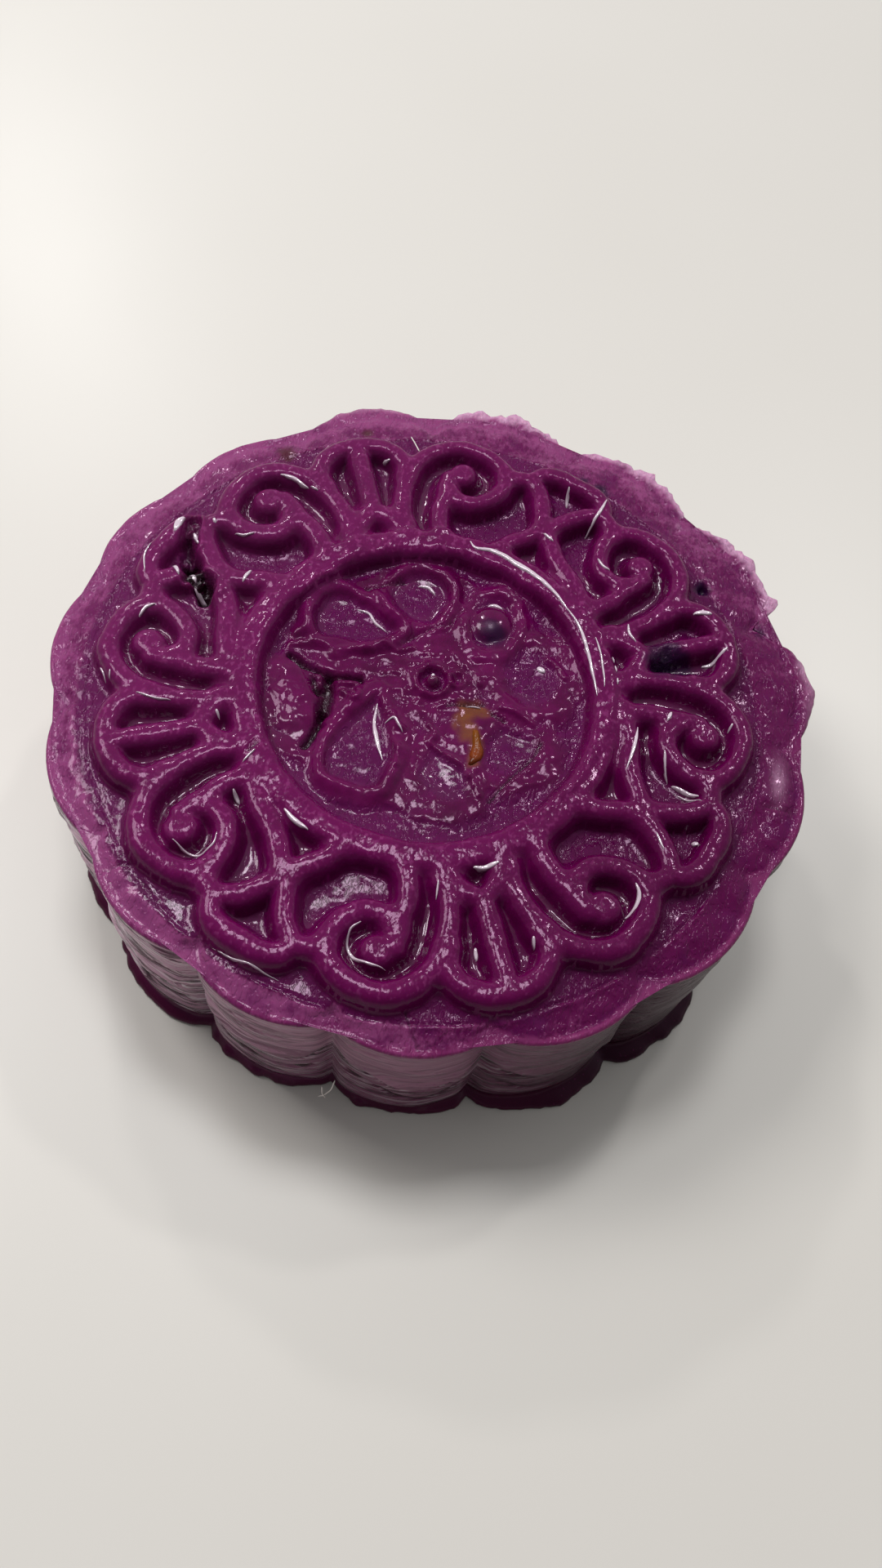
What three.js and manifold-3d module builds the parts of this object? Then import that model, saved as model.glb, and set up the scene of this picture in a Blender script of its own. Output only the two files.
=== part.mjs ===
// A moulded mooncake: one solid, millimetres, +Z up, the origin at the middle of its flat underside.
// The top carries a ring with a flower in it, and round the ring a band of cloud scrolls, four
// fans and four small fans, inside a rim of fifteen lobes. It is soft dough, so nothing is even.
import * as THREE from "three";
import { mergeVertices } from "three/addons/utils/BufferGeometryUtils.js";
import Module from "manifold-3d";

const wasm = await Module();
wasm.setup();

// ---- driving dimensions ----
const RIM_RADIUS = 31; // the rim in the hollow between two lobes
const LOBES = 15;
const LOBE_RISE = 1.4; // a lobe's middle beyond its hollows
const LOBE_START = 1.8; // degrees, the first hollow
const RIM_HEIGHT = 18.6; // the outer edge of the top
const FLOOR_HEIGHT = 19.3; // the sunk ground of the pattern
const RELIEF = 1.9; // the ridges above that ground
const PATTERN_X = -0.5; // the stamped pattern sits a little off the middle
const PATTERN_Y = -0.8;
const FAN_START = 22.95; // degrees, the first of the four fans
const RING_RADIUS = 15.5; // the crest of the ring round the flower
const BEAD_RADIUS = 28.8; // the fine bead round the whole pattern
const EYE = [9.0, 22.15]; // a scroll's middle, beside and out along its fan's axis
const EYE_RADIUS = 1.55;
const FLOWER_X = 0.0;
const FLOWER_Y = 0.8;
const PETAL_RELIEF = 0.85;

const RIDGE_FOOT = 1.15; // half a ridge's width at the ground
const RIDGE_SHOULDER = 0.8; // half its width at the shoulder
const SHOULDER_SHARE = 0.7; // the shoulder's height as a share of the ridge's
const RIDGE_ROOT = 0.6; // how far a ridge is sunk into the body
const RIDGE_STEP = 1.6; // one step along a ridge
const LOBE_STEPS = 6; // segments a lobe
const SHORTEST = 0.06; // edges under this are drawn together
const THINNEST = 0.004; // triangles under this are turned

// The petals of the flower, all a little different. Turn is in degrees, reach is from the
// flower's middle to the petal's, and long and wide are halves of its hollow, out and across.
const PETALS = [
  { turn: 15, reach: 8.6, long: 3.4, wide: 3.0 },
  { turn: 61, reach: 8.3, long: 3.2, wide: 2.7 },
  { turn: 107, reach: 8.4, long: 3.2, wide: 2.8 },
  { turn: 149, reach: 8.7, long: 3.2, wide: 2.8 },
  { turn: 242, reach: 9.2, long: 3.8, wide: 2.7 },
  { turn: 287, reach: 8.6, long: 2.9, wide: 2.5 },
  { turn: 324, reach: 9.0, long: 3.2, wide: 2.7 },
];

// How far each fan (0, 2, 4, 6) and each corner between two fans (1, 3, 5, 7) is drawn in or out.
const PATTERN_DRAW = [0, 0, 0, -0.01, -0.03, -0.01, 0.005, 0];

const rad = THREE.MathUtils.degToRad;
const smooth = THREE.MathUtils.smoothstep;

// ---- unevenness of the hand-pressed dough ----
// Lobes are swayed round the rim and the rim is a little wider at one side.
function sway(angle) {
  return rad(0.85) * Math.cos(angle - rad(127)) + rad(0.77) * Math.cos(3 * angle + rad(19));
}

function rimRadius(angle) {
  return RIM_RADIUS * (1 + 0.0126 * Math.cos(angle - rad(35)) + 0.0103 * Math.cos(2 * angle));
}

function lobe(angle) {
  const along = THREE.MathUtils.euclideanModulo((angle - rad(LOBE_START)) / rad(360 / LOBES), 1);
  return LOBE_RISE * (1 - (2 * along - 1) ** 2);
}

// A crumbly wobble from a few waves that don't repeat together.
function ragged(angle) {
  return (Math.sin(23 * angle + 1) + Math.sin(41 * angle + 4) + Math.sin(67 * angle + 2)) / 3;
}

// The thin flash that the mould squeezed out along the far and right edge.
function flash(angle) {
  const middle = rad(62);
  const spread = Math.abs(Math.atan2(Math.sin(angle - middle), Math.cos(angle - middle)));
  const share = 1 - smooth(spread, rad(48), rad(62));
  return share * (0.35 + 0.55 * (lobe(angle) / LOBE_RISE) + 0.3 * ragged(angle));
}

// The ragged foot that spread on the board, widest at the front right and the front left.
function foot(angle) {
  const right = Math.exp(-(((angle + rad(44)) / rad(22)) ** 2));
  const left = Math.exp(-(((angle + rad(142)) / rad(26)) ** 2));
  return 0.25 + 1.1 * right + 0.8 * left + 0.25 * ragged(angle + 1);
}

// ---- solids ----
function closed(geometry) {
  const bare = geometry.index ? geometry.toNonIndexed() : geometry.clone();
  bare.deleteAttribute("normal");
  bare.deleteAttribute("uv");
  const merged = mergeVertices(bare, 1e-4);
  const corners = [];
  for (let i = 0; i < merged.index.count; i += 3) {
    const [a, b, c] = [0, 1, 2].map((k) => merged.index.getX(i + k));
    if (a !== b && b !== c && c !== a) corners.push(a, b, c);
  }
  merged.setIndex(corners);
  return merged;
}

function solid(geometry) {
  const shape = closed(geometry);
  return new wasm.Manifold(
    new wasm.Mesh({
      numProp: 3,
      vertProperties: new Float32Array(shape.attributes.position.array),
      triVerts: new Uint32Array(shape.index.array),
    }),
  );
}

function moveVertices(geometry, move) {
  const place = geometry.attributes.position;
  const point = new THREE.Vector3();
  for (let i = 0; i < place.count; i += 1) {
    point.fromBufferAttribute(place, i);
    move(point, i);
    place.setXYZ(i, point.x, point.y, point.z);
  }
  return geometry;
}

// ---- the body: one turned section whose rows follow the lobes, the flash and the foot ----
const SECTION = [
  { inset: RIM_RADIUS, height: 0, lobed: 0 },
  { inset: 1.8, height: 0, lobed: 1 },
  { inset: 0.95, height: 0.15, lobed: 0.9, foot: 1 },
  { inset: 0.95, height: 0.75, lobed: 0.9, foot: 0.9 },
  { inset: 1.2, height: 1.3, lobed: 0.95 },
  { inset: 0.7, height: 8, lobed: 1 },
  { inset: 0.15, height: RIM_HEIGHT - 1.2, lobed: 1 },
  { inset: 0.05, height: RIM_HEIGHT - 0.45, lobed: 1, flash: 0.6 },
  { inset: 0.0, height: RIM_HEIGHT - 0.15, lobed: 1, flash: 1 },
  { inset: 0.25, height: RIM_HEIGHT + 0.12, lobed: 1, flash: 0.3 },
  { inset: 0.75, height: RIM_HEIGHT + 0.02, lobed: 0.95 },
];

function bodyGeometry() {
  const profile = SECTION.map((row) => new THREE.Vector2(RIM_RADIUS - row.inset, row.height));
  profile.push(new THREE.Vector2(BEAD_RADIUS, FLOOR_HEIGHT));
  profile.push(new THREE.Vector2(0, FLOOR_HEIGHT));
  const turned = new THREE.LatheGeometry(profile, LOBES * LOBE_STEPS);
  turned.rotateX(Math.PI / 2).rotateZ(rad(LOBE_START + 90));
  return moveVertices(turned, (point, i) => {
    const index = i % profile.length;
    const row = SECTION[index];
    const even = Math.atan2(point.y, point.x);
    if (index === SECTION.length) {
      point.x += PATTERN_X;
      point.y += PATTERN_Y;
      return;
    }
    if (!row || row.inset === RIM_RADIUS) return;
    const angle = even + sway(even);
    const reach =
      rimRadius(even) -
      row.inset +
      row.lobed * lobe(even) +
      (row.flash ?? 0) * flash(angle) +
      (row.foot ?? 0) * foot(angle);
    point.x = reach * Math.cos(angle);
    point.y = reach * Math.sin(angle);
  });
}

// ---- the pattern, drawn even and then drawn in or out as the dough was ----
const RIDGE_SECTION = new THREE.Shape(
  [
    [-RIDGE_ROOT, -RIDGE_FOOT],
    [-RIDGE_ROOT, RIDGE_FOOT],
    [RELIEF * SHOULDER_SHARE, RIDGE_SHOULDER],
    [RELIEF, 0],
    [RELIEF * SHOULDER_SHARE, -RIDGE_SHOULDER],
  ].map(([up, across]) => new THREE.Vector2(-up, across)),
);

function settle(point) {
  const reach = Math.hypot(point.x, point.y);
  const angle = Math.atan2(point.y, point.x);
  const turn = THREE.MathUtils.euclideanModulo((angle - rad(FAN_START)) / rad(45), 8);
  const before = PATTERN_DRAW[Math.floor(turn) % 8];
  const after = PATTERN_DRAW[(Math.floor(turn) + 1) % 8];
  const drawn = reach * (1 + before + (after - before) * smooth(turn % 1, 0, 1));
  point.x = PATTERN_X + drawn * Math.cos(angle);
  point.y = PATTERN_Y + drawn * Math.sin(angle);
}

function ridge(points) {
  const path = new THREE.CatmullRomCurve3(points, false, "centripetal");
  const geometry = new THREE.ExtrudeGeometry(RIDGE_SECTION, {
    steps: Math.max(2, Math.round(path.getLength() / RIDGE_STEP)),
    extrudePath: path,
    bevelEnabled: false,
  });
  return solid(moveVertices(geometry, settle));
}

function dome(x, y, radius, rise) {
  const ball = new THREE.SphereGeometry(radius, 10, 6);
  ball.rotateX(Math.PI / 2).scale(1, 1, rise / radius).translate(x, y, FLOOR_HEIGHT);
  return ball;
}

// Round the scroll's eye: the angle and the distance of each turn of the scroll.
const SCROLL_TURNS = [
  [166, 4.8],
  [140, 4.05],
  [112, 3.55],
  [80, 3.3],
  [50, 3.2],
  [22, 3.5],
  [-5, 4.0],
  [-32, 4.0],
  [-60, 3.7],
  [-88, 3.5],
  [-115, 3.0],
  [-142, 2.35],
  [-175, 1.3],
];

// Each stroke beside a fan: how far beside its axis and how far out along it.
const SCROLL = [
  [2.2, 15.6],
  [2.55, 18.9],
  [3.2, 21.25],
  ...SCROLL_TURNS.map(([turn, reach]) => [
    EYE[0] + reach * Math.cos(rad(turn)),
    EYE[1] + reach * Math.sin(rad(turn)),
  ]),
];
const STEM = [
  [5.3, 15.1],
  [5.55, 17.35],
  [6.05, 18.8],
  [7.2, 20.3],
];
const LEG = [
  [14.5, 14.7],
  [15.3, 17.2],
  [15.5, 19.1],
  [15.0, 20.5],
  [13.3, 21.0],
];
const CROWN = [
  [15.0, 20.5],
  [16.6, 20.9],
  [18.05, 20.3],
  [19.2, 19.2],
];
// The first and third fan have a long toe that lies along the ring, the others a short one.
const LONG_TOE = [
  [14.5, 14.9],
  [12.8, 14.85],
  [11.0, 14.9],
  [7.9, 15.7],
  [4.9, 16.0],
];
const SHORT_TOE = [
  [14.5, 14.65],
  [12.9, 14.15],
  [11.4, 13.85],
  [10.3, 13.3],
];
const BROW = [
  [3.75, 23.0],
  [4.0, 24.4],
  [3.3, 25.9],
  [1.85, 26.9],
  [0, 27.25],
];
const STRUT = [
  [0, 19.6],
  [1.3, 18.5],
  [2.5, 17.2],
];
const RIB = [
  [0, 19.4],
  [0, 27.2],
];

function patternRidges() {
  const pieces = [];
  for (let fan = 0; fan < 4; fan += 1) {
    const axis = rad(FAN_START + 90 * fan);
    const out = new THREE.Vector3(Math.cos(axis), Math.sin(axis), 0);
    for (const side of [1, -1]) {
      const beside = new THREE.Vector3(side * out.y, -side * out.x, 0);
      const put = ([across, along]) =>
        new THREE.Vector3(0, 0, FLOOR_HEIGHT).addScaledVector(beside, across).addScaledVector(out, along);
      const toe = fan % 2 === 0 ? LONG_TOE : SHORT_TOE;
      for (const stroke of [SCROLL, STEM, LEG, CROWN, toe, BROW, STRUT]) pieces.push(ridge(stroke.map(put)));
      if (side === 1) pieces.push(ridge(RIB.map(put)));
      const eye = put(EYE);
      pieces.push(solid(moveVertices(dome(eye.x, eye.y, EYE_RADIUS, RELIEF * 0.92), settle)));
    }
  }
  return pieces;
}

// A ring of the ridge's own section, at any radius, and as high as asked.
function hoop(radius, half, rise, segments) {
  const low = FLOOR_HEIGHT - RIDGE_ROOT;
  const high = FLOOR_HEIGHT + rise;
  const outline = [
    [radius - half, low],
    [radius + half, low],
    [radius + half * 0.7, FLOOR_HEIGHT + rise * SHOULDER_SHARE],
    [radius, high],
    [radius - half * 0.7, FLOOR_HEIGHT + rise * SHOULDER_SHARE],
    [radius - half, low],
  ].map(([r, z]) => new THREE.Vector2(r, z));
  const turned = new THREE.LatheGeometry(outline, segments);
  return solid(moveVertices(turned.rotateX(Math.PI / 2), settle));
}

// ---- the flower: a button in a tiny hoop, and eight petals, each a loop round a shallow hollow ----
function loop(x, y, length, width, thickness, rise, turn) {
  const torus = new THREE.TorusGeometry(1, thickness / length, 5, 14);
  moveVertices(torus, (point) => {
    point.y *= width * (1 + 0.22 * THREE.MathUtils.clamp(point.x, -1, 1));
    point.x *= length;
    point.z *= (rise * length) / thickness;
  });
  torus.rotateZ(turn).translate(x, y, FLOOR_HEIGHT);
  return solid(torus);
}

function flowerPieces() {
  const pieces = [
    solid(dome(FLOWER_X, FLOWER_Y, 0.6, 0.7)),
    loop(FLOWER_X, FLOWER_Y, 1.5, 1.5, 0.5, 0.75, 0),
    solid(dome(FLOWER_X + 2.1, FLOWER_Y + 0.6, 0.7, 0.6)),
  ];
  for (const { turn, reach, long, wide } of PETALS) {
    const [x, y] = [FLOWER_X + reach * Math.cos(rad(turn)), FLOWER_Y + reach * Math.sin(rad(turn))];
    pieces.push(loop(x, y, long, wide, 0.75, PETAL_RELIEF, rad(turn)));
  }
  // The eighth petal is pressed out flat into a torn pad.
  const pad = new THREE.IcosahedronGeometry(1, 1);
  pieces.push(solid(pad.scale(4.2, 1.7, 0.8).rotateZ(rad(-70)).translate(-10.9, -4, FLOOR_HEIGHT)));
  return pieces;
}

// ---- damage: a torn pit, small holes and two cracks beside the flower ----
function pit(x, y, length, width, depth, turn) {
  const lump = closed(new THREE.IcosahedronGeometry(1, 2));
  moveVertices(lump, (point) => {
    point.multiplyScalar(1 + 0.14 * Math.sin(5 * point.x + 3) * Math.cos(6 * point.y + 2 * point.z));
  });
  lump.scale(length, width, depth).rotateZ(rad(turn)).translate(x, y, FLOOR_HEIGHT + 0.5);
  return solid(lump);
}

function crack(from, to, half, depth) {
  const path = new THREE.LineCurve3(
    new THREE.Vector3(from[0], from[1], FLOOR_HEIGHT),
    new THREE.Vector3(to[0], to[1], FLOOR_HEIGHT),
  );
  const notch = new THREE.Shape(
    [
      [-1.5, -half],
      [-1.5, half],
      [depth, 0],
    ].map(([down, across]) => new THREE.Vector2(down, across)),
  );
  return solid(new THREE.ExtrudeGeometry(notch, { steps: 1, extrudePath: path, bevelEnabled: false }));
}

const DAMAGE = [
  pit(-22.6, 7.9, 4.3, 1.7, 1.9, -62),
  pit(20.3, 6.4, 1.7, 1.0, 1.1, 25),
  pit(22.7, 15.9, 0.9, 0.7, 0.9, 0),
  crack([-12.7, 1.2], [-5.4, 0], 0.35, 1.2),
  crack([-8.5, -0.4], [-8.3, -7.4], 0.55, 1.3),
];

// ---- tidying of the joined surface: no edge shorter than SHORTEST, no triangle thinner than THINNEST ----
function height(a, b, c) {
  const area = new THREE.Triangle(a, b, c).getArea();
  return (2 * area) / Math.max(a.distanceTo(b), b.distanceTo(c), c.distanceTo(a));
}

function turned(before, after) {
  const [was, is] = [before, after].map((corners) => new THREE.Triangle(...corners).getNormal(new THREE.Vector3()));
  return was.dot(is) < 0.9;
}

class Surface {
  constructor(positions, corners) {
    this.points = [];
    for (let i = 0; i < positions.length; i += 3) this.points.push(new THREE.Vector3().fromArray(positions, i));
    this.faces = [];
    for (let i = 0; i < corners.length; i += 3) this.faces.push([...corners.subarray(i, i + 3)]);
    this.around = this.points.map(() => new Set());
    this.faces.forEach((face, i) => face.forEach((p) => this.around[p].add(i)));
  }

  at(face) {
    return face.map((p) => this.points[p]);
  }

  neighbours(p) {
    return new Set([...this.around[p]].flatMap((i) => this.faces[i]).filter((q) => q !== p));
  }

  // Draws point q into point p, unless a face would turn over or the surface would pinch.
  weld(p, q) {
    const near = this.neighbours(p);
    if ([...this.neighbours(q)].filter((n) => near.has(n)).length !== 2) return false;
    const moved = [...this.around[q]].filter((i) => !this.faces[i].includes(p));
    const after = moved.map((i) => this.faces[i].map((n) => (n === q ? p : n)));
    const thin = (face) => height(...this.at(face)) < THINNEST;
    if (after.some((face, k) => thin(face) || turned(this.at(this.faces[moved[k]]), this.at(face)))) return false;
    for (const i of [...this.around[q]].filter((j) => !moved.includes(j))) this.drop(i);
    moved.forEach((i, k) => this.swap(i, after[k]));
    return true;
  }

  drop(i) {
    this.faces[i].forEach((p) => this.around[p].delete(i));
    this.faces[i] = null;
  }

  swap(i, face) {
    this.faces[i].forEach((p) => this.around[p].delete(i));
    this.faces[i] = face;
    face.forEach((p) => this.around[p].add(i));
  }

  // Turns the long edge of a thin triangle so that it meets the corner that lies on it.
  flip(i) {
    const face = this.faces[i];
    const sides = [0, 1, 2].map((k) => this.points[face[k]].distanceTo(this.points[face[(k + 1) % 3]]));
    const k = sides.indexOf(Math.max(...sides));
    const [a, b, c] = [face[k], face[(k + 1) % 3], face[(k + 2) % 3]];
    const other = [...this.around[a]].find((j) => j !== i && this.around[b].has(j));
    const d = this.faces[other].find((p) => p !== a && p !== b);
    if (this.neighbours(c).has(d)) return;
    const made = [
      [a, d, c],
      [d, b, c],
    ];
    if (made.some((corners) => height(...this.at(corners)) < THINNEST)) return;
    this.swap(i, made[0]);
    this.swap(other, made[1]);
  }

  tidy() {
    for (let pass = 0; pass < 6; pass += 1) {
      this.faces.forEach((_, i) => {
        for (const k of [0, 1, 2]) {
          const face = this.faces[i];
          if (!face) return;
          const [p, q] = [face[k], face[(k + 1) % 3]];
          if (this.points[p].distanceTo(this.points[q]) < SHORTEST && !this.weld(p, q)) this.weld(q, p);
        }
        if (this.faces[i] && height(...this.at(this.faces[i])) < THINNEST) this.flip(i);
      });
    }
    const corners = this.faces.filter(Boolean).flat();
    const used = [...new Set(corners)];
    const index = new Map(used.map((p, i) => [p, i]));
    return new THREE.BufferGeometry()
      .setAttribute("position", new THREE.Float32BufferAttribute(used.flatMap((p) => this.points[p].toArray()), 3))
      .setIndex(corners.map((p) => index.get(p)));
  }
}

// ---- the whole cake ----
function mooncake() {
  const raised = [
    ...patternRidges(),
    hoop(RING_RADIUS, RIDGE_FOOT, RELIEF, 64),
    hoop(BEAD_RADIUS - 0.1, 0.35, 0.3, 60),
    ...flowerPieces(),
  ];
  let cake = solid(bodyGeometry());
  let pattern = raised[0];
  for (const piece of raised.slice(1)) pattern = pattern.add(piece);
  cake = cake.add(pattern);
  for (const hole of DAMAGE) cake = cake.subtract(hole);
  const mesh = cake.getMesh();
  return new Surface(mesh.vertProperties, mesh.triVerts).tidy();
}

const geometry = mooncake();
geometry.computeVertexNormals();

const dough = new THREE.MeshStandardMaterial({ color: 0x6e2456, roughness: 0.38, metalness: 0 });
const cake = new THREE.Mesh(geometry, dough);
cake.name = "mooncake";

const group = new THREE.Group();
group.add(cake);

export default group;
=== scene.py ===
"""A moulded mooncake of glossy purple dough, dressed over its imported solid.

Sizes in the mesh code are millimetres and are turned to metres when a mesh is made. The dough is one
closed skin: a loose net over the patterned top, drawn close along the ridges, with the lobed side and
the flat underside. Custard, wet films and fibres are pieces of their own that lie on it.
"""

import math

import bpy
import numpy as np
from bpy.props import FloatProperty, FloatVectorProperty, PointerProperty
from mathutils import Matrix, Vector
from mathutils.geometry import delaunay_2d_cdt
from mathutils.kdtree import KDTree


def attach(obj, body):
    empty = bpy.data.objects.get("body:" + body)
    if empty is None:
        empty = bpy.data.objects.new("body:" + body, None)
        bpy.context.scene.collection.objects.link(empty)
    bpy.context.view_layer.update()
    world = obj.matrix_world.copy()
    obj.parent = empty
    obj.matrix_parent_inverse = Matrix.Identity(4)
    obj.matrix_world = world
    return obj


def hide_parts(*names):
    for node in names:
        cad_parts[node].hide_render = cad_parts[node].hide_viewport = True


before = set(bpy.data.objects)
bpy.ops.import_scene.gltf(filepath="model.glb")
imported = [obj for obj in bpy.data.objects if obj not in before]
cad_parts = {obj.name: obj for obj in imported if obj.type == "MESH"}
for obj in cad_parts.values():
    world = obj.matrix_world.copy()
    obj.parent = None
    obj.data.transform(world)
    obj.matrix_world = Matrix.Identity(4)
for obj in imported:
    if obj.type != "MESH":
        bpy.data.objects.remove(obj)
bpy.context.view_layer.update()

bl_info = {
    "name": "Moulded mooncake",
    "version": (1, 0, 0),
    "blender": (4, 5, 0),
    "location": "View3D > Sidebar > Mooncake",
    "description": "A purple mooncake with its flower, scrolls, wet glints, custard and fibres",
    "category": "Object",
}

MM = 0.001

# ---- sizes of the form, in millimetres and degrees ----
# They are the solid's, but for the notches, the spread of the foot and the widths of the ridges.
RIM_RADIUS = 31.0
LOBES = 15
LOBE_RISE = 1.4
LOBE_START = 1.8
LOBE_WIDTH = 13.0
NOTCH_DEPTH = 0.5
NOTCH_HALF = 0.75
# The foot spreads most toward these angles.
FOOT_RIGHT = -46
FOOT_LEFT = -136
FOOT_RIGHT_SPREAD = 1.3
FOOT_LEFT_SPREAD = 0.5
RIM_HEIGHT = 18.6
FLOOR_HEIGHT = 19.3
PATTERN = (-0.5, -0.8)
FAN_START = 22.95
RING_RADIUS = 15.5
BEAD_RADIUS = 28.8
EYE = (9.0, 22.15)
FLOWER = (0.0, 0.8)
# By what share the pattern is drawn out, at every 45 degrees from the first fan.
PATTERN_DRAW = (0, 0, 0, -0.01, -0.03, -0.01, 0.005, 0)
# Half widths of the ridges, the ring and the eyes, and how near two ridges meet in a web.
RIDGE_HALF = 1.3
RING_HALF = 1.62
EYE_HALF = 1.75
WEB = 0.8

# ---- the net over the dough: how far apart its places lie ----
COLUMNS = LOBES * 32
WALL_NET = 0.2
CREST_NET = 0.28
GROUND_NET = 0.32
FLOWER_NET = 0.22
TORN_NET = 0.14
# One place is kept in each cell of this size, and none this near the lip.
THIN_CELL = 0.115
LIP_CLEAR = 0.24
# Rows of the net round each ridge, in shares of its half width.
WALL_ROWS = (0.62, 0.8, 0.93, 1.04, 1.2)

# Each turn of a scroll round its eye: angle in degrees and distance.
SCROLL_TURNS = (
    (166, 4.8),
    (140, 4.05),
    (112, 3.55),
    (80, 3.3),
    (50, 3.2),
    (22, 3.5),
    (-5, 4.0),
    (-32, 4.0),
    (-60, 3.7),
    (-88, 3.5),
    (-115, 3.0),
    (-142, 2.35),
    (-175, 1.3),
)
# Strokes beside a fan: how far beside its axis and how far out along it.
SCROLL = [(2.2, 15.6), (2.55, 18.9), (3.2, 21.25)] + [
    (
        EYE[0] + reach * math.cos(math.radians(turn)),
        EYE[1] + reach * math.sin(math.radians(turn)),
    )
    for turn, reach in SCROLL_TURNS
]
STEM = [(5.3, 15.1), (5.55, 17.35), (6.05, 18.8), (7.2, 20.3)]
LEG = [(14.5, 14.7), (15.3, 17.2), (15.5, 19.1), (15.0, 20.5), (13.3, 21.0)]
CROWN = [(15.0, 20.5), (16.6, 20.9), (18.05, 20.3), (19.2, 19.2)]
LONG_TOE = [(14.5, 14.9), (12.8, 14.85), (11.0, 14.9), (7.9, 15.7), (4.9, 16.0)]
SHORT_TOE = [(14.5, 14.65), (12.9, 14.15), (11.4, 13.85), (10.3, 13.3)]
BROW = [(3.75, 23.0), (4.0, 24.4), (3.3, 25.9), (1.85, 26.9), (0.0, 27.25)]
STRUT = [(0.0, 19.6), (1.3, 18.5), (2.5, 17.2)]
RIB = [(0.0, 19.4), (0.0, 27.2)]

# The flower: the crest of the rim round each petal's hollow, and how high each rim is.
PETALS = (
    [(-3.4, 4.8), (-4.8, 6.4), (-6.7, 7.9), (-8.8, 8.6), (-10.9, 7.5), (-11.6, 5.5), (-10.8, 3.4),
     (-8.5, 2.6), (-5.5, 2.9)],
    [(-5.0, 7.6), (-5.6, 9.8), (-4.5, 11.5), (-2.4, 12.2), (-0.3, 11.6), (0.4, 9.9), (0.1, 8.0),
     (-0.6, 6.6), (-2.0, 6.0), (-3.6, 6.4)],
    [(1.5, 7.5), (1.7, 9.4), (2.9, 10.9), (4.5, 11.2), (5.9, 10.3), (6.6, 8.2), (6.4, 6.2),
     (5.2, 4.8), (3.2, 4.6), (2.0, 5.6)],
    [(5.3, 5.6), (7.1, 6.6), (9.3, 6.5), (11.0, 5.2), (11.7, 3.0), (11.3, 0.8), (9.6, -0.5),
     (7.5, -0.6), (5.8, 0.4), (4.9, 2.2), (4.8, 4.2)],
    [(4.5, -4.3), (5.2, -2.3), (7.2, -1.5), (9.4, -1.9), (10.5, -3.5), (10.3, -5.8), (8.9, -7.4),
     (7.0, -7.6), (5.1, -6.8), (4.5, -5.6)],
    [(-0.2, -6.4), (0.7, -5.0), (2.6, -5.2), (4.6, -6.4), (5.2, -8.2), (4.8, -10.0), (2.8, -10.9),
     (0.7, -10.4), (-0.5, -8.6)],
    [(-4.2, -1.0), (-2.9, -2.7), (-1.9, -5.0), (-1.5, -7.8), (-2.4, -10.2), (-4.8, -11.0),
     (-7.2, -10.2), (-8.0, -7.8), (-7.2, -4.8), (-5.7, -2.4)],
)
PETAL_RISES = (0.78, 0.62, 0.55, 0.42, 0.36, 0.3, 0.66)
# How far each petal's rim is spread out.
PETAL_SPREADS = (1.0, 1.0, 1.1, 1.5, 1.4, 1.4, 1.1)
FLOWER_BED = 0.42
FLOWER_EDGE = [
    (-12.8, 2.5), (-12.3, 6.5), (-10.5, 9.2), (-8.0, 10.0), (-5.8, 12.0), (-2.8, 13.3), (0.3, 12.5),
    (2.5, 12.0), (5.0, 12.2), (7.1, 10.7), (8.1, 8.4), (10.5, 7.5), (12.4, 5.0), (12.7, 1.8),
    (11.2, -1.0), (11.6, -3.5), (11.0, -6.7), (8.6, -8.6), (6.3, -9.0), (5.9, -10.8), (3.5, -12.1),
    (1.0, -12.2), (-1.3, -11.5), (-4.5, -12.2), (-7.6, -11.6), (-9.4, -9.4), (-10.7, -8.8),
    (-12.8, -6.6), (-13.5, -3.0), (-13.1, 0.0),
]
# Folds raised or pressed into the flower: their lines, half widths and rises.
FOLDS = (
    ([(-12.6, 2.0), (-10.5, 2.3), (-8.0, 1.9), (-5.4, 2.4)], 0.7, 0.3),
    ([(-12.9, 2.8), (-12.2, 3.4)], 0.8, 0.35),
    ([(-6.4, 8.9), (-5.1, 7.3), (-3.8, 6.2), (-3.0, 5.2)], 0.55, 0.35),
    ([(-12.9, -0.6), (-11.6, -2.6), (-11.0, -4.4), (-9.4, -5.6)], 0.35, 0.24),
    ([(-13.2, -6.2), (-11.2, -6.6), (-9.6, -6.0)], 0.22, -0.25),
    ([(-3.1, -3.6), (-2.6, -3.3), (-2.1, -4.2), (-1.6, -4.6)], 0.3, 0.3),
    ([(-2.2, -5.4), (-1.7, -6.6), (-1.6, -8.0)], 0.4, 0.25),
    ([(0.3, -3.6), (0.9, -4.4), (0.7, -5.4)], 0.4, 0.3),
    ([(1.4, 4.0), (2.4, 3.2), (3.4, 2.4), (3.9, 1.2)], 0.4, 0.3),
    ([(-4.6, 3.4), (-3.4, 3.0), (-2.2, 3.6)], 0.35, 0.28),
    ([(-4.2, 0.6), (-3.0, 0.9), (-1.9, 0.6)], 0.35, 0.22),
    ([(5.8, -0.9), (7.4, -1.1), (8.8, -1.5)], 0.35, 0.3),
    ([(9.6, 4.9), (10.5, 4.4), (11.0, 3.4)], 0.4, 0.3),
    ([(5.5, -9.2), (4.8, -8.2), (4.4, -7.4)], 0.4, 0.28),
    ([(0.9, -5.7), (2.3, -5.9), (3.9, -7.0), (4.3, -7.6)], 0.35, 0.3),
    ([(-7.6, -0.9), (-6.2, -1.0), (-6.3, -2.6), (-7.3, -1.9)], 0.45, 0.4),
)

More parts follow.
